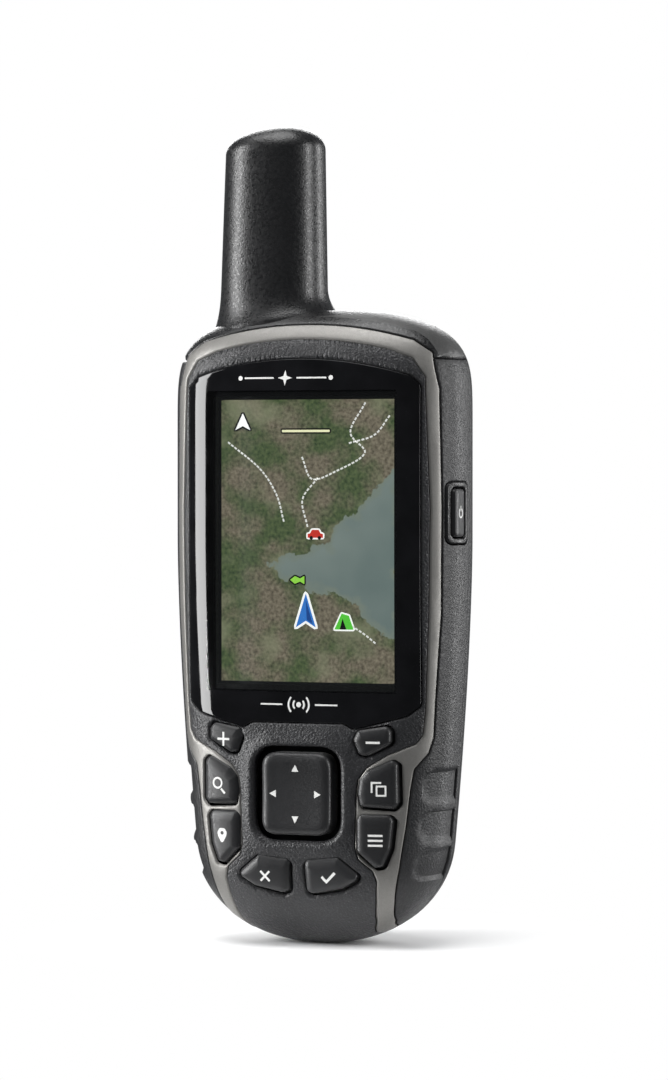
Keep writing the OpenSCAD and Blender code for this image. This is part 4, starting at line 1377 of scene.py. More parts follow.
@dataclass
class AntennaStub:
    """Elliptical stub with a flared foot and a top that leans down to the left."""

    half_w: float = 10.45
    flatness: float = 0.79
    centre: tuple[float, float] = (-12.1, -0.3)
    foot_z: float = 112.0
    lean: float = 1.7
    count: int = 112

    def half_at(self, z: float, top: float) -> float:
        """Half width at level z."""
        rise = (z - self.foot_z) / (top - self.foot_z)
        flare = 1.3 * max(0.0, (125 - z) / 13) ** 2
        t = max(0.0, (z - top + 5) / 5)
        return ((self.half_w * (1.06 - 0.12 * rise) + flare)
                * max(0.02, (1 - t * t) ** (1 / 2.4) if t < 1 else 0))

    def form(self, name: str) -> bpy.types.Object:
        """Makes the closed stub."""
        top = node_box("antenna_housing")[1][2]
        levels = [*np.linspace(self.foot_z + 2, top - 5, 60),
                  *(top - 5 + 5 * np.sin(np.linspace(0.08, 1.56, 18)))]
        a = np.linspace(0, 2 * math.pi, self.count, endpoint=False)
        cx, cy = np.cos(a), np.sin(a)
        rows = []
        for z in levels:
            w = self.half_at(z, top)
            fillet = 1.4 * max(0.0, (128.4 - z) / 4.4) ** 2.2 * (0.55 + 0.45 * cx)
            x = (w + np.minimum(fillet, 2.4)) * np.sign(cx) * np.abs(cx) ** 0.9
            y = (w + np.minimum(fillet, 2.4)) * self.flatness * np.sign(cy) * np.abs(cy) ** 0.9
            ramp = min(1.0, max(0.0, (z - 146) / 14)) ** 1.5
            drop = self.lean * ramp * (1 - x / self.half_w) / 2
            shift = 0.4 + 0.5 * (z - self.foot_z) / (top - self.foot_z)
            level = z - drop + 0.7 * ramp
            rows.append(np.stack([self.centre[0] + shift + x, self.centre[1] + y, level], axis=-1))
        n = self.count
        faces = [(k * n + i, k * n + (i + 1) % n, (k + 1) * n + (i + 1) % n, (k + 1) * n + i)
                 for k in range(len(rows) - 1) for i in range(n)]
        faces += [tuple(reversed(range(n))), tuple((len(rows) - 1) * n + i for i in range(n))]
        return tidied(mesh_object(name, np.vstack(rows), faces), 50)

    def core(self) -> None:
        """Dresses the ceramic core and winds its four copper strips."""
        painted("antenna_core", CERAMIC)
        painted("antenna_cable", GOLD)
        for k in range(4):
            strip = wire_coil(f"core_strip_{k}", (0, 0, 0), 0.5, (6.02, 6.02), 30, 0.75, COPPER, flat=0.08)
            strip.data.transform(Matrix.Translation(Vector((*self.centre, 122.5)) * MM)
                                 @ Matrix.Rotation(k * math.pi / 2, 4, "Z"))
            dress(strip, slot="gold_plate")


class KeySign(Enum):
    """Signs printed on the keys in place of words."""

    ZOOM_IN = "plus"
    ZOOM_OUT = "minus"
    FIND = "magnifier"
    MARK = "pin"
    PAGE = "stacked sheets"
    MENU = "three bars"
    QUIT = "cross"
    ENTER = "tick"


def bar(x0: float, z0: float, x1: float, z1: float, w: float) -> Array:
    """Straight bar between two points, w wide."""
    start, end = np.array([x0, z0]), np.array([x1, z1])
    side = np.array([-(z1 - z0), x1 - x0]) / math.hypot(x1 - x0, z1 - z0) * w / 2
    return resampled(np.array([start + side, end + side, end - side, start - side]), 0.12)


def sign_loops(sign: KeySign) -> list[Array]:
    """Closed loops of a key sign round the origin; a loop inside another is a hole."""
    reach, w = 1.35, 0.42
    plus = [[-reach, w / 2], [-w / 2, w / 2], [-w / 2, reach], [w / 2, reach], [w / 2, w / 2], [reach, w / 2],
            [reach, -w / 2], [w / 2, -w / 2], [w / 2, -reach], [-w / 2, -reach], [-w / 2, -w / 2],
            [-reach, -w / 2]]
    cross = np.array(plus) @ np.array([[1, 1], [-1, 1]]) * math.sqrt(0.5)
    sheet = [[-1.5, -0.7], [-1.5, 1.4], [0.5, 1.4], [0.5, 1.05], [-1.15, 1.05], [-1.15, -0.7]]
    pin = [[0, -1.7], [-0.95, -0.1], [-1.1, 0.6], [-0.6, 1.4], [0.6, 1.4], [1.1, 0.6], [0.95, -0.1]]
    tick = [[-1.5, 0.1], [-1.15, 0.45], [-0.4, -0.35], [1.2, 1.25], [1.55, 0.9], [-0.4, -1.05]]
    handle = [[0.35, -0.95], [0.65, -0.65], [1.55, -1.55], [1.25, -1.85]]
    loops = {
        KeySign.ZOOM_IN: [resampled(np.array(plus), 0.12)],
        KeySign.ZOOM_OUT: [bar(-reach, 0, reach, 0, w)],
        KeySign.FIND: [disc(1.15, (-0.3, 0.3), 36), disc(0.78, (-0.3, 0.3), 28),
                       resampled(np.array(handle), 0.12)],
        KeySign.MARK: [rounded(pin, 0.5, 0.12), disc(0.38, (0, 0.5), 20)],
        KeySign.PAGE: [resampled(np.array(sheet), 0.12), oblong(1.0, 1.05, 0.1, (0.45, -0.35), 0.12),
                       oblong(0.68, 0.73, 0.1, (0.45, -0.35), 0.12)],
        KeySign.MENU: [bar(-1.4, z, 1.4, z, 0.38) for z in (0.95, 0, -0.95)],
        KeySign.QUIT: [resampled(cross, 0.12)],
        KeySign.ENTER: [resampled(np.array(tick), 0.12)],
    }
    return loops[sign]


@dataclass(frozen=True, eq=False)
class KeyPlace:
    """Where one key lies and what it shows."""

    node: str
    path: Array
    centre: tuple[float, float]
    sign: KeySign
    on_wing: bool


@dataclass
class KeyField:
    """Eight pillowed keys, each with a sign, a stem and a flange behind the case."""

    proud: float = 0.8
    flange: tuple[float, float] = (-9.9, -9.3)
    lip: float = 0.5
    zoom: tuple = ((18.4, 43.1), (19.3, 42.2), (19.3, 39.9), (14.2, 37.3), (12.9, 37.7), (11.8, 40.4),
                   (12.7, 42.2))
    upper: tuple = ((19.4, 36.6), (20.5, 35.8), (20.6, 28.2), (19.6, 27.1), (13.2, 27.5), (12.7, 30),
                    (13.1, 32.8),
                    (14.6, 34.4))
    lower: tuple = ((18.8, 25.9), (19.6, 25), (19, 19.5), (17.5, 15.9), (16, 15.6), (12.5, 18.8), (12.5, 25),
                    (13.2, 25.9))
    end: tuple = ((2.3, 16.8), (8.4, 17.4), (12.6, 14.1), (12.2, 13.1), (9.2, 11.4), (3.2, 10.2), (1.8, 10.8),
                  (1.6, 16.2))

    def places(self) -> list[KeyPlace]:
        """The eight keys."""
        rows = [(self.zoom, (15.6, 40.2), False, ("zoom_in", KeySign.ZOOM_IN),
                 ("zoom_out", KeySign.ZOOM_OUT)),
                (self.upper, (16.7, 31.3), True, ("find", KeySign.FIND), ("page", KeySign.PAGE)),
                (self.lower, (16, 21.4), True, ("mark", KeySign.MARK), ("menu", KeySign.MENU)),
                (self.end, (6.6, 13.9), False, ("quit", KeySign.QUIT), ("enter", KeySign.ENTER))]
        made = []
        for points, centre, wing, left, right in rows:
            for side, (name, sign) in ((-1, left), (1, right)):
                path = rounded(np.array(points) * [side, 1], 0.8, 0.25)
                made.append(KeyPlace("key_" + name, path, (side * centre[0], centre[1]), sign, wing))
        return made

    def build(self) -> None:
        """Builds every key and its printed sign."""
        for place in self.places():
            edge = CASE.from_front(place.path, -self.proud)
            cap = Wall(SkinSurface(), [Rim(edge, 1.7, 0.85, straight=True)], 3.0, base=-self.proud,
                       spacing=0.6,
                       roll_steps=9).build("cap")
            stem = prism("stem", grown(place.path, -0.05), -12.6, self.flange[1])
            flange = prism("flange", grown(place.path, self.lip), *self.flange)
            parts = [tinted(part, KEY_SATIN) for part in (cap, stem, flange)]
            body = place.node + "_body"
            dress(joined(place.node + "_cap", parts), body=body, slot="key_rubber", stands_for=[place.node])
            rims = [Rim(CASE.from_front(loop + place.centre, -self.proud), 0.01, 0.0)
                    for loop in sign_loops(place.sign)]
            sign = Wall(SkinSurface(), rims, -self.proud + 0.02, base=-self.proud - 0.025, spacing=0.5,
                        roll_steps=0).build(place.node + "_sign")
            dress(sign, WHITE_INK_PAINTED_GLOW, body=body)


@dataclass
class Rocker:
    """Four-way pad with a dished face, over its cross pivot."""

    half_w: float = 7.2
    half_h: float = 7.95
    corner: float = 3.2
    level: float = 30.0
    face_y: float = -18.0
    back_y: float = -13.6
    dish: float = 0.7

    def well(self) -> Array:
        """Outline of the well in the fascia."""
        return oblong(self.half_w + 1.8, self.half_h + 1.2, 4.6, (0, self.level))

    def mound(self, points: Array) -> Array:
        """Swelling of the fascia round the well, as a negative depth at each point."""
        core = (np.maximum(np.abs(points[:, 0]) - 4.4, 0),
                np.maximum(np.abs(points[:, 2] - self.level) - 4.55, 0))
        away = np.maximum(0, np.hypot(*core) - 4.6)
        return np.where(points[:, 1] < 0, -0.75 * np.exp(-(away / 2.4) ** 2), 0)

    def build(self) -> None:
        """Builds the pad, its studs and its four arrow marks."""
        face = FlatSurface((0, self.face_y, self.level), dish=self.dish, reach=10)
        path = oblong(self.half_w, self.half_h, self.corner, step=0.25)
        pad = Wall(face, [Rim(path, 2.0, 1.3)], self.back_y - self.face_y, spacing=0.5,
                   roll_steps=9).build("pad")
        posts = [prism("post", disc(0.9, (5.6 * math.cos(a), self.level + 5.6 * math.sin(a)), 24), -13.7,
                       -9.6)
                 for a in np.arange(4) * math.pi / 2]
        ears = [prism("ear", oblong(1.5, 0.5, 0.05, (0, self.level + side * 2.7)), -14.0, -9.0)
                for side in (-1, 1)]
        parts = [tinted(part, KEY_SATIN) for part in (pad, *posts, *ears)]
        dress(joined("rocker_cap", parts), body="rocker_body", slot="key_rubber", stands_for=["rocker_pad"])
        arrow = np.array([[-0.72, -0.6], [0.72, -0.6], [0, 0.75]])
        rims = []
        for k in range(4):
            turn = np.array([[math.cos(k * math.pi / 2), math.sin(k * math.pi / 2)],
                             [-math.sin(k * math.pi / 2), math.cos(k * math.pi / 2)]])
            rims.append(Rim(resampled(arrow @ turn + np.array([0, 4.9 if k % 2 == 0 else 4.6]) @ turn,
                                      0.15), 0.01, 0))
        marks = Wall(face, rims, 0.02, base=-0.03, spacing=0.4, roll_steps=0).build("rocker_arrows")
        dress(marks, WHITE_INK_PAINTED_GLOW, body="rocker_body")
        painted("rocker_saddle", WHITE_PLASTIC)
        painted("rocker_pivot", STEEL)


@dataclass
class PowerButton:
    """Side button with its raised ring and switch."""

    centre: tuple[float, float] = (-6.0, 84.2)
    face_x: float = 29.8

    def collar_path(self) -> Array:
        """Outline of the hole that the ring fills, as Y and Z."""
        return oblong(3.85, 6.15, 1.7, self.centre)

    def build(self) -> None:
        """Builds the button, its ring and the sign."""
        ring = softened("power_ring", "power_button_collar", 0.4, 3)
        dress(ring, CASE_BLACK, slot="grip_rubber", stands_for=["power_button_collar"])
        side = FlatSurface((self.face_x, *self.centre), u=(0, 1, 0), v=(0, 0, 1))
        flange = FlatSurface((25.5, *self.centre), u=(0, 1, 0), v=(0, 0, 1))
        cap = Wall(side, [Rim(oblong(2.3, 4.6, 1.0, step=0.2), 0.9, 0.4)], 4.9, spacing=0.5).build("cap")
        back = Wall(flange, [Rim(oblong(2.9, 5.2, 1.0), 0.1, 0.1)], 0.6, spacing=2).build("flange")
        parts = [tinted(part, KEY_SATIN) for part in (cap, back)]
        dress(joined("power_cap", parts), body="power_button_body", slot="key_rubber",
              stands_for=["power_button"])
        a = np.radians(np.linspace(125, 415, 40))
        arc = np.vstack([np.stack([np.cos(a), np.sin(a)], axis=-1) * 1.05,
                         np.stack([np.cos(a[::-1]), np.sin(a[::-1])], axis=-1) * 0.75])
        rims = [Rim(resampled(arc, 0.12), 0.01, 0), Rim(bar(0, 0.25, 0, 1.35, 0.28), 0.01, 0)]
        sign = Wall(side, rims, 0.02, base=-0.03, spacing=0.5, roll_steps=0).build("power_sign")
        dress(sign, WHITE_INK_PAINTED_GLOW, body="power_button_body")
        painted("power_switch", WHITE_PLASTIC)


@dataclass
class WindowStack:
    """Display window, the lit map behind it and the signs printed on the border."""

    picture: tuple[float, float, float] = (36.3, 54.8, 78.7)
    pane_margin: float = 1.7
    picture_y: float = -11.24
    edge: tuple = ((24.2, 108.6), (24.2, 47.2), (21.6, 45.2), (11.6, 42.6), (9.6, 43.7))
    water: tuple = ((19, 15), (14, 9.5), (9, 5), (5.5, 2.5), (4, -1), (-3, -3), (-9, -4.2), (-6, -7.5),
                    (-1, -9),
                    (4, -10), (9, -12), (13, -15.5), (19, -19.5))

    def outline(self) -> Array:
        """Outline of the window as X and Z."""
        return rounded(mirrored(crown(114, 75, 22.4) + [list(p) for p in self.edge]), 1.4)

    def build(self) -> None:
        """Builds the window with its black border and clear pane."""
        width, height, level = self.picture
        pane = oblong(width / 2 + self.pane_margin, height / 2 + self.pane_margin, 0.4, (0, level))
        wall = Wall(SkinSurface(), [Rim(CASE.from_front(self.outline()), 0.3, 0.22)], 1.4, spacing=1.2,
                    marks=[CASE.from_front(pane)])
        dress(wall.build("window_pane"), BlackGlass(), ClearPane(), slot="window",
              stands_for=["display_window"])
        painted("lcd_panel", CHIP)
        painted("display_gasket", FOAM)
        painted("backlight_frame", WHITE_PLASTIC)
        self.border_signs()

    def border_signs(self) -> None:
        """Prints a plain compass sign above the picture and a plain signal sign below it."""
        top_x, top_z = -2.7, 110.2
        low_x, low_z = 0.3, 47.2
        star = [[0, 1.5], [0.35, 0.35], [1.5, 0], [0.35, -0.35], [0, -1.5], [-0.35, -0.35], [-1.5, 0],
                [-0.35, 0.35]]
        top = [resampled(np.array(star), 0.15) + [top_x, top_z]]
        for side in (-1, 1):
            top.append(bar(side * 2.4 + top_x, top_z, side * (2.4 + 6.2) + top_x, top_z, 0.3))
            top.append(disc(0.45, (side * 9.5 + top_x, top_z), 20))
        low = [disc(0.5, (low_x, low_z), 20)]
        for side in (-1, 1):
            for r in (1.3, 2.3):
                a = np.radians(np.linspace(-42, 42, 14))
                arc = np.vstack([np.stack([np.cos(a), np.sin(a)], axis=-1) * r,
                                 np.stack([np.cos(a[::-1]), np.sin(a[::-1])], axis=-1) * (r - 0.35)])
                low.append(resampled(arc * [side, 1] + [low_x, low_z], 0.12))
            low.append(bar(side * 3.4 + low_x, low_z, side * 8 + low_x, low_z, 0.3))
        for name, loops in (("compass_sign", top), ("signal_sign", low)):
            rims = [Rim(CASE.from_front(loop), 0.01, 0.0) for loop in loops]
            sign = Wall(SkinSurface(), rims, 0.02, base=-0.03, spacing=0.6, roll_steps=0).build(name)
            dress(sign, WHITE_INK_PAINTED_GLOW)

    def map_picture(self) -> None:
        """Builds the lit map with its distance to the shore, then its marks."""
        width, height, level = self.picture
        face = FlatSurface((0, self.picture_y, level))
        path = resampled(np.array([[-1, -1], [1, -1], [1, 1], [-1, 1]]) * [width / 2, height / 2], 0.7)
        board = Wall(face, [Rim(path, 0.01, 0)], 0.03, spacing=0.6, roll_steps=0).build("map_picture")
        points = np.array([v.co for v in board.data.vertices]) / MM
        plane = np.stack([points[:, 0], points[:, 2] - level], axis=-1)
        shore = resampled(np.array(self.water), 0.5)
        away = np.sqrt(((plane[:, None] - shore[None]) ** 2).sum(-1)).min(1)
        store = board.data.attributes.new("shore", "FLOAT", "POINT")
        signed = np.where(even_odd(plane, [shore]), -away, away)
        store.data.foreach_set("value", signed.astype(np.float32))
        dress(board, AerialMap(), slot="display")
        self.map_marks(level)
        self.map_trails(level)

    def map_marks(self, level: float) -> None:
        """Draws the map's small coloured signs, each over a dark or pale edge."""
        north = [[-1.6, -1.5], [0, 1.8], [1.6, -1.5], [0, -0.7]]
        heading = [[-2.1, -3.2], [0, 3.4], [2.1, -3.2], [0, -1.9]]
        tent = [[-2.0, -1.5], [-0.5, 1.6], [1.0, 1.2], [2.0, -1.5]]
        door = [[-0.9, -1.5], [-0.3, 0.6], [0.5, -1.5]]
        fish = [[-1.5, 0], [-0.5, 0.75], [0.6, 0.3], [1.5, 0.8], [1.5, -0.8], [0.6, -0.3], [-0.5, -0.75]]
        car = [[-1.6, -0.6], [-1.6, 0.15], [-1.1, 0.25], [-0.7, 0.95], [0.7, 0.95], [1.1, 0.25], [1.6, 0.15],
               [1.6, -0.6]]
        wheel = disc(0.36, count=16)
        white, dark = Ink("map_white", (0.9, 0.9, 0.88), 0.9), Ink("map_dark", (0.01, 0.01, 0.01), 0.0)
        marks = [
            ("map_north", north, (-13.6, 23), 0.35, dark, white),
            ("map_heading", heading, (-0.3, -13.6), 0.45, white, Ink("map_blue", (0.03, 0.16, 0.5), 0.9)),
            ("map_tent", tent, (7.7, -15.6), 0.3, white, Ink("map_green", (0.08, 0.5, 0.04), 0.9)),
            ("map_fish", fish, (-2.1, -7.6), 0.3, dark, Ink("map_lime", (0.25, 0.6, 0.06), 0.9)),
            ("map_car", car, (1.7, 1.2), 0.3, white, Ink("map_red", (0.5, 0.03, 0.02), 0.9)),
            ("map_scale", bar(-5, 0, 5, 0, 0.45), (-0.3, 21.3), 0.3, dark,
             Ink("map_sand", (0.8, 0.78, 0.5), 0.9)),
        ]
        extras = {"map_tent": ([resampled(np.array(door), 0.12)], dark),
                  "map_car": ([wheel + [-0.85, -0.6], wheel + [0.85, -0.6]], dark),
                  "map_heading": ([resampled(np.array([[0, 2.2], [0.2, -1.7], [1.5, -2.6]]), 0.12)],
                                  Ink("map_deep_blue", (0.01, 0.06, 0.25), 0.8))}
        for name, shape, centre, edge, under, over in marks:
            path = resampled(np.array(shape, float), 0.15) + centre
            layers = [("_edge", [grown(path, edge)], under, 0.02), ("", [path], over, 0.04)]
            if name in extras:
                layers.append(("_detail", [loop + centre for loop in extras[name][0]], extras[name][1], 0.06))
            for suffix, loops, finish, lift in layers:
                self.film(name + suffix, loops, finish, lift, level)

    def film(self, name: str, loops: list[Array], finish: object, lift: float, level: float) -> None:
        """Lays a thin printed film over the map."""
        face = FlatSurface((0, self.picture_y, level))
        rims = [Rim(loop, 0.01, 0) for loop in loops]
        dress(Wall(face, rims, -lift + 0.015, base=-lift, spacing=1.0, roll_steps=0).build(name), finish)

    def map_trails(self, level: float) -> None:
        """Lays dashed trails over the land."""
        trails = [((-16.5, 19), (-10, 14), (-6.5, 9), (-5, 4)),
                  ((12, 26.5), (9, 21), (12, 17), (6, 13.5), (1, 12), (-1, 16)),
                  ((17, 24), (14, 20.5), (9, 19)),
                  ((2, 12), (-1, 8), (0, 3)),
                  ((9.5, -16.5), (12, -18), (14, -19.5))]
        for k, points in enumerate(trails):
            bent = smooth_path(np.array(points, float), 40)
            path = np.stack([bent[:, 0], np.full(len(bent), self.picture_y - 0.03), bent[:, 1] + level],
                            axis=-1)
            dash = mesh_object("dash", np.array([[-0.3, 0, -0.17], [0.3, 0, -0.17], [0.3, 0, 0.17],
                                                 [-0.3, 0, 0.17],
                                                 [-0.3, 0.015, -0.17], [0.3, 0.015, -0.17],
                                                 [0.3, 0.015, 0.17],
                                                 [-0.3, 0.015, 0.17]]),
                               [(0, 1, 2, 3), (7, 6, 5, 4), (0, 4, 5, 1), (1, 5, 6, 2), (2, 6, 7, 3),
                                (3, 7, 4, 0)])
            trail = spread_along(f"map_trail_{k}", path, dash, 0.85,
                                 Ink("map_trail", (0.75, 0.75, 0.72), 0.8))
            dress(trail)


def smooth_path(points: Array, count: int) -> Array:
    """Catmull-Rom curve through the points."""
    p = np.vstack([2 * points[0] - points[1], points, 2 * points[-1] - points[-2]])
    t = np.linspace(0, len(points) - 1.0001, count)
    i = t.astype(int)
    f = (t - i)[:, None]
    a, b, c, d = p[i], p[i + 1], p[i + 2], p[i + 3]
    return 0.5 * (2 * b + (c - a) * f + (2 * a - 5 * b + 4 * c - d) * f ** 2
                  + (3 * b - a - 3 * c + d) * f ** 3)


@dataclass
class RearDoor:
    """Battery door with its latch, folding ring and carrier rail."""

    half_w: float = 18.3
    span: tuple[float, float] = (8.0, 82.6)
    latch_z: float = 19.5
    hinge: tuple[float, float] = (13.0, 83.6)
    boss: tuple = ((4.05, 12), (10.6, 12), (10.6, 16.2), (9.5, 16.2), (9.5, 13.2), (4.05, 13.2))

    def opening(self, gap: float = 0.0) -> Array:
        """Outline of the door opening as X and Z, made smaller by gap."""
        low, high = self.span
        return oblong(self.half_w - gap, (high - low) / 2 - gap, 4 - gap, (0, (low + high) / 2), 0.4)

    def build(self) -> None:
        """Builds the door skin, its boss and hinge beads, and everything that rides on it."""
        lo, hi = node_box("spine_rail")
        rail = oblong((hi[0] - lo[0]) / 2 + 0.1, (hi[2] - lo[2]) / 2 + 0.1, 0.3, (0, (lo[2] + hi[2]) / 2))
        rims = [Rim(CASE.from_rear(self.opening(0.3)), 0.35, 0.3), Rim(CASE.from_rear(rail), 0.2, 0.2),
                Rim(CASE.from_rear(disc(10.55, (0, self.latch_z), 90)), 0.1, 0.1)]
        skin = Wall(SkinSurface(), rims, 1.5, spacing=1.3).build("door_skin")
        boss = turned("boss", rounded_profile(self.boss, 0.35), (0, self.latch_z))
        beads = [turned("bead", rounded_profile([(0.8, x - 3), (1.3, x - 3), (1.3, x + 3), (0.8, x + 3)],
                                                0.1),
                        self.hinge, "X", 32) for x in (-10, 10)]
        under = [prism("floor", oblong(9.3, 23.1, 0.3, (0, 56.3)), 12.4, 13.5)]
        tabs = [prism("tab", oblong(3, 1.1, 0.1, (x, 82.4)), 11.9, 13.7) for x in (-10, 10)]
        parts = [tinted(part, SIDE_GRAIN) for part in (skin, boss, *beads, *under, *tabs)]
        dress(joined("door_shell", parts), body="door_body", slot="case_plastic", stands_for=["battery_door"])
        rail_piece = softened("carrier_rail", "spine_rail", 0.3, 3)
        dress(rail_piece, LATCH_BLACK, body="door_body", slot="latch_plastic", stands_for=["spine_rail"])
        knob = softened("latch_knob", "door_latch", 0.3, 3)
        dress(knob, LATCH_BLACK, body="latch_body", slot="latch_plastic", stands_for=["door_latch"])
        cam = softened("latch_cam_plate", "latch_cam", 0.15)
        dress(cam, STEEL, body="latch_body", slot="steel", stands_for=["latch_cam"])
        for node, finish in (("latch_screw", STEEL), ("latch_bush", WHITE_PLASTIC),
                             ("door_hinge_pins", STEEL),
                             ("door_seal", FOAM)):
            painted(node, finish)
        self.folding_ring()

    def folding_ring(self) -> None:
        """Builds the D-shaped wire ring."""
        lo, hi = node_box("d_ring")
        wire = (hi[1] - lo[1]) / 2
        r, y = (hi[0] - lo[0]) / 2 - wire, (hi[1] + lo[1]) / 2
        pivot_z = hi[2] - wire
        a = np.linspace(math.pi, 2 * math.pi, 49)
        bow = np.stack([r * np.cos(a), np.full_like(a, y), pivot_z + r * np.sin(a)], axis=-1)
        bar_x = np.linspace(r * 0.94, -r * 0.94, 25)
        straight = np.stack([bar_x, np.full_like(bar_x, y), np.full_like(bar_x, pivot_z)], axis=-1)
        ring = tube("folding_ring", np.vstack([bow, straight]), wire, closed=True, count=20)
        dress(ring, STEEL, body="ring_body", slot="steel", stands_for=["d_ring"])


@dataclass
class PortCaps:
    """Rubber caps over the data socket and the antenna socket on the back."""

    def openings(self) -> list[Array]:
        """Outlines of the two pockets in the rear case."""
        a = np.radians(np.linspace(-90, 90, 30))
        pocket = np.vstack([np.stack([9 + 4.6 * np.cos(a), 109 + 4.6 * np.sin(a)], axis=-1),
                            [[1.7, 113.6], [1.7, 104.4]]])
        return [oblong(8.3, 6.2, 0.4, (4, 94.9)), resampled(pocket, 0.35)]

    def build(self) -> None:
        """Builds the caps and dresses the sockets."""
        data_cap = softened("data_cap", "usb_port_cap", 0.35, 3)
        dress(data_cap, KEY_SATIN, body="usb_cap_body", slot="grip_rubber", stands_for=["usb_port_cap"])
        round_cap = softened("antenna_cap", "antenna_port_cap", 0.35, 3)
        dress(round_cap, KEY_SATIN, body="antenna_cap_body", slot="grip_rubber",
              stands_for=["antenna_port_cap"])
        painted("antenna_jack", GOLD)
        painted("usb_connector", STEEL)


@dataclass
class Fasteners:
    """Case screws in their rear wells and the board screws."""

    places: tuple = ((23, 102), (-23, 102), (22.8, 45), (-22.8, 45))

    def holes(self) -> list[Array]:
        """Outlines of the screw wells in the rear case."""
        return [disc(2.5, place, 30) for place in self.places]

    def build(self) -> None:
        """Builds the case screws from one domed, socketed head and shank."""
        profile = [(0.0, 7.0), (0.8, 7.0), (0.9, 7.3), (1.9, 7.2), (2.3, 6.7), (2.3, 6.0), (1.2, 6.0),
                   (1.2, -4.5),
                   (0.0, -4.5)]
        screw = turned("screw_stamp", profile, (0, 0), count=36)
        points = np.array([[x, 0, z] for x, z in self.places], float)
        mesh = bpy.data.meshes.new("screw_points")
        mesh.from_pydata((points * MM).tolist(), [], [])
        carrier = bpy.data.objects.new("screw_points", mesh)
        bpy.context.scene.collection.objects.link(carrier)
        g = NodeMaker("case_screw_set")
        g.tree.interface.new_socket("Geometry", in_out="INPUT", socket_type="NodeSocketGeometry")
        piece = g.add("GeometryNodeObjectInfo", Object=g.size("Screw", screw, "NodeSocketObject"))
        placed = g.add("GeometryNodeInstanceOnPoints", Points=g.source.outputs["Geometry"],
                       Instance=piece.outputs["Geometry"])
        made = g.run(placed.outputs[0], STEEL, carrier)
        bpy.data.objects.remove(screw)
        dress(made, slot="steel", stands_for=["case_screws"])
        painted("board_screws", STEEL)


@dataclass
class Electronics:
    """Boards with their parts, cans, membrane and the sounder."""

    back_y: float = -6.3

    def build(self) -> None:
        """Dresses the boards and sets small parts on them."""
        for node in ("main_board", "io_board"):
            painted(node, SolderMask())
        for node, finish in (("dome_sheet", STEEL), ("keypad_membrane", KEY_SATIN),
                             ("board_link", WHITE_PLASTIC),
                             ("card_socket", STEEL), ("contact_plates", STEEL), ("case_seal", FOAM)):
            painted(node, finish)
        cans = softened("can_covers", "shield_cans", 0.25)
        dress(cans, STEEL, slot="steel", stands_for=["shield_cans"])
        sounder = softened("sounder", "beeper", 0.2)
        dress(sounder, CHIP, slot="card_plastic", stands_for=["beeper"])
        card = softened("memory_chip_card", "memory_card", 0.15)
        dress(card, CARD, slot="card_plastic", stands_for=["memory_card"])
        chips = [(-10, 36, 4, 4, 1.1), (4, 38, 2.6, 2.6, 0.9), (12, 33, 1.5, 2.4, 0.8),
                 (-13, 24, 2, 1.4, 0.7)]
        chips += [(-14 + 2.2 * k, 18, 0.5, 0.9, 0.5) for k in range(12)]
        chips += [(14.5, 50 + 2.4 * k, 0.9, 0.5, 0.5) for k in range(10)]
        parts = []
        for x, z, half_w, half_h, rise in chips:
            chip = prism("chip", oblong(half_w, half_h, 0.1, (x, z)), self.back_y, self.back_y + rise)
            parts.append(tinted(chip, CHIP if half_w > 1 else CERAMIC))
        dress(joined("board_parts", parts), slot="card_plastic")


@dataclass
class Cells:
    """Two AA cells, head to tail, with their coiled contacts."""

    cell_y: float = 4.7

    def build(self) -> None:
        """Builds the cells and the coils."""
        for node, upwards in (("aa_cell_left", True), ("aa_cell_right", False)):
            lo, hi = node_box(node)
            r, length, x = (hi[0] - lo[0]) / 2, hi[2] - lo[2], (lo[0] + hi[0]) / 2
            flat = [(0, 0), (r - 1.2, 0), (r - 1.1, 0.25), (r, 0.25), (r, length - 1.7),
                    (r - 1.0, length - 1.4),
                    (2.7, length - 1.3), (2.6, length), (0, length)]
            profile = np.array([(p, lo[2] + q if upwards else hi[2] - q) for p, q in flat])
            cell = turned(node + "_wrap", rounded_profile(profile, 0.3), (x, self.cell_y), "Z")
            band = lo[2] + length - 15 if upwards else lo[2] + 15
            dress(cell, CellWrap(node + "_film", band, upwards), slot="cell_label", stands_for=[node])
        lo, hi = node_box("contact_springs")
        coils = []
        for name, way in (("contact_coil_left", 1), ("contact_coil_right", -1)):
            x = -7.6 if way > 0 else 7.6
            start = (lo[2] + 0.55) if way > 0 else (hi[2] - 0.55)
            coils.append(wire_coil(name, (x, self.cell_y, start), 3.5, (4.0, 2.6), way * 2.2, 0.4, STEEL))
        dress(joined("contact_coils", coils), slot="steel", stands_for=["contact_springs"])


# ---------------------------------------------------------------- studio


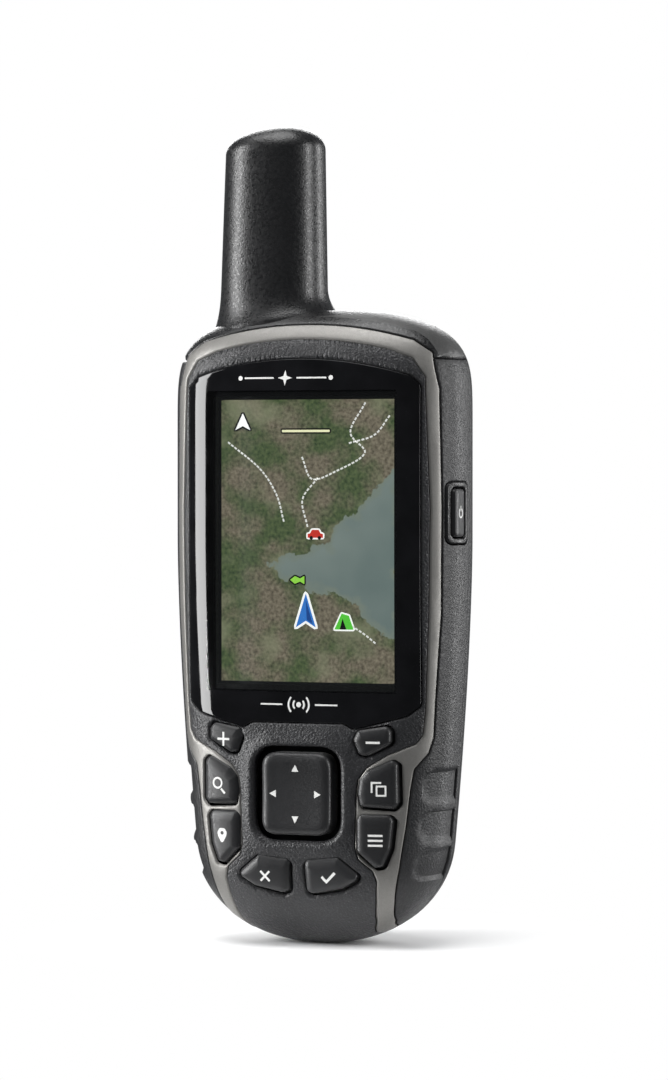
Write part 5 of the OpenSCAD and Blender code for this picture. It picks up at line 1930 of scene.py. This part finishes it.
@dataclass
class Studio:
    """White floor and surround, soft boxes, and the camera."""

    camera_at: tuple[float, float, float] = (0.3074, -0.7519, 0.0924)
    look_at: tuple[float, float, float] = (0.0055, -0.0110, 0.0789)
    lens: float = 222.95

    def surround(self) -> None:
        """Makes the surround: white to the eye, dim as a light."""
        world = bpy.data.worlds.new("surround")
        bpy.context.scene.world = world
        world.use_nodes = True
        tree = world.node_tree
        tree.nodes.clear()
        path = tree.nodes.new("ShaderNodeLightPath")
        seen, lit = tree.nodes.new("ShaderNodeBackground"), tree.nodes.new("ShaderNodeBackground")
        seen.inputs["Color"].default_value = (1, 1, 1, 1)
        lit.inputs["Color"].default_value = (0.9, 0.95, 1, 1)
        lit.inputs["Strength"].default_value = 0.13
        mix, out = tree.nodes.new("ShaderNodeMixShader"), tree.nodes.new("ShaderNodeOutputWorld")
        tree.links.new(path.outputs["Is Camera Ray"], mix.inputs[0])
        tree.links.new(lit.outputs[0], mix.inputs[1])
        tree.links.new(seen.outputs[0], mix.inputs[2])
        tree.links.new(mix.outputs[0], out.inputs[0])

    def floor(self) -> None:
        """Makes a pale floor that fades into the surround away from the object."""
        n, radius = 96, 400.0
        a = np.linspace(0, 2 * math.pi, n, endpoint=False)
        points = np.stack([radius * np.cos(a), radius * np.sin(a), np.full(n, -0.02)], axis=-1)
        made = mesh_object("floor", points, [tuple(range(n))])
        g = Graph("floor_pale")
        away = g.add("ShaderNodeVectorMath", {"operation": "LENGTH"}, _0=g.coords).outputs["Value"]
        fade = g.add("ShaderNodeMapRange", {"interpolation_type": "SMOOTHSTEP"}, Value=away, From_Min=0.024,
                     From_Max=0.062, To_Min=0, To_Max=1).outputs[0]
        tint = g.mix(g.noise(30), (0.93, 0.93, 0.93, 1), (0.95, 0.95, 0.95, 1))
        matt = g.add("ShaderNodeBsdfDiffuse", Color=tint)
        clear = g.add("ShaderNodeBsdfTransparent")
        made.data.materials.append(g.finish(g.add("ShaderNodeMixShader", _0=fade, _1=matt.outputs[0],
                                                  _2=clear.outputs[0])))

    def soft_box(self, name: str, place: Colour, aim: Colour, size: tuple[float, float], power: float,
                 mirrored_in: bool = True) -> None:
        """Adds an area light.

        Args:
            name: name of the light.
            place: where it hangs, in metres.
            aim: point that it faces, in metres.
            size: width and height in metres.
            power: power in watts.
            mirrored_in: whether glossy surfaces reflect it.
        """
        data = bpy.data.lights.new(name, "AREA")
        data.shape, data.size, data.size_y, data.energy = "RECTANGLE", *size, power
        lamp = bpy.data.objects.new(name, data)
        bpy.context.scene.collection.objects.link(lamp)
        lamp.location = place
        lamp.rotation_euler = (Vector(aim) - Vector(place)).to_track_quat("-Z", "Y").to_euler()
        lamp.visible_glossy = mirrored_in

    def build(self) -> None:
        """Sets up the floor, the lights and the camera."""
        scene = bpy.context.scene
        scene.view_settings.view_transform = "Standard"
        self.surround()
        self.floor()
        middle = (0.0, 0.0, 0.08)
        self.soft_box("tall_left", (-0.62, -0.32, 0.2), middle, (0.16, 0.7), 6.5)
        self.soft_box("tall_right", (0.66, -0.02, 0.2), middle, (0.12, 0.6), 3.4)
        self.soft_box("overhead", (-0.1, -0.1, 0.8), (0, 0, 0), (0.6, 0.5), 4.5)
        self.soft_box("front_fill", (-0.35, -0.9, 0.45), middle, (0.5, 0.4), 2.5, mirrored_in=False)
        self.soft_box("rear_key", (-0.35, 0.75, 0.5), middle, (0.5, 0.5), 5.0)
        self.soft_box("rear_side", (0.55, 0.6, 0.15), middle, (0.2, 0.6), 3.0)
        data = bpy.data.cameras.new("camera")
        data.lens, data.sensor_width, data.sensor_fit = self.lens, 36.0, "HORIZONTAL"
        data.clip_start, data.clip_end = 0.01, 20
        camera = bpy.data.objects.new("camera", data)
        scene.collection.objects.link(camera)
        camera.location = self.camera_at
        aim = Vector(self.look_at) - Vector(self.camera_at)
        camera.rotation_euler = aim.to_track_quat("-Z", "Y").to_euler()
        scene.camera = camera


def main() -> None:
    """Builds the navigator piece by piece, then its studio."""
    logging.basicConfig(level=logging.INFO, format="%(name)s: %(message)s")
    shell, stub, keys, rocker = CaseShell(), AntennaStub(), KeyField(), Rocker()
    window, button, door, ports = WindowStack(), PowerButton(), RearDoor(), PortCaps()
    screws = Fasteners()
    Studio().build()
    shell.fascia(keys, window, rocker)
    shell.silver_loop(keys)
    shell.side_strips(button)
    shell.top_housing(stub)
    shell.rear(door, ports, screws)
    window.build()
    window.map_picture()
    keys.build()
    rocker.build()
    button.build()
    door.build()
    ports.build()
    screws.build()
    Electronics().build()
    Cells().build()
    stub.core()


if __name__ == "__main__":
    main()
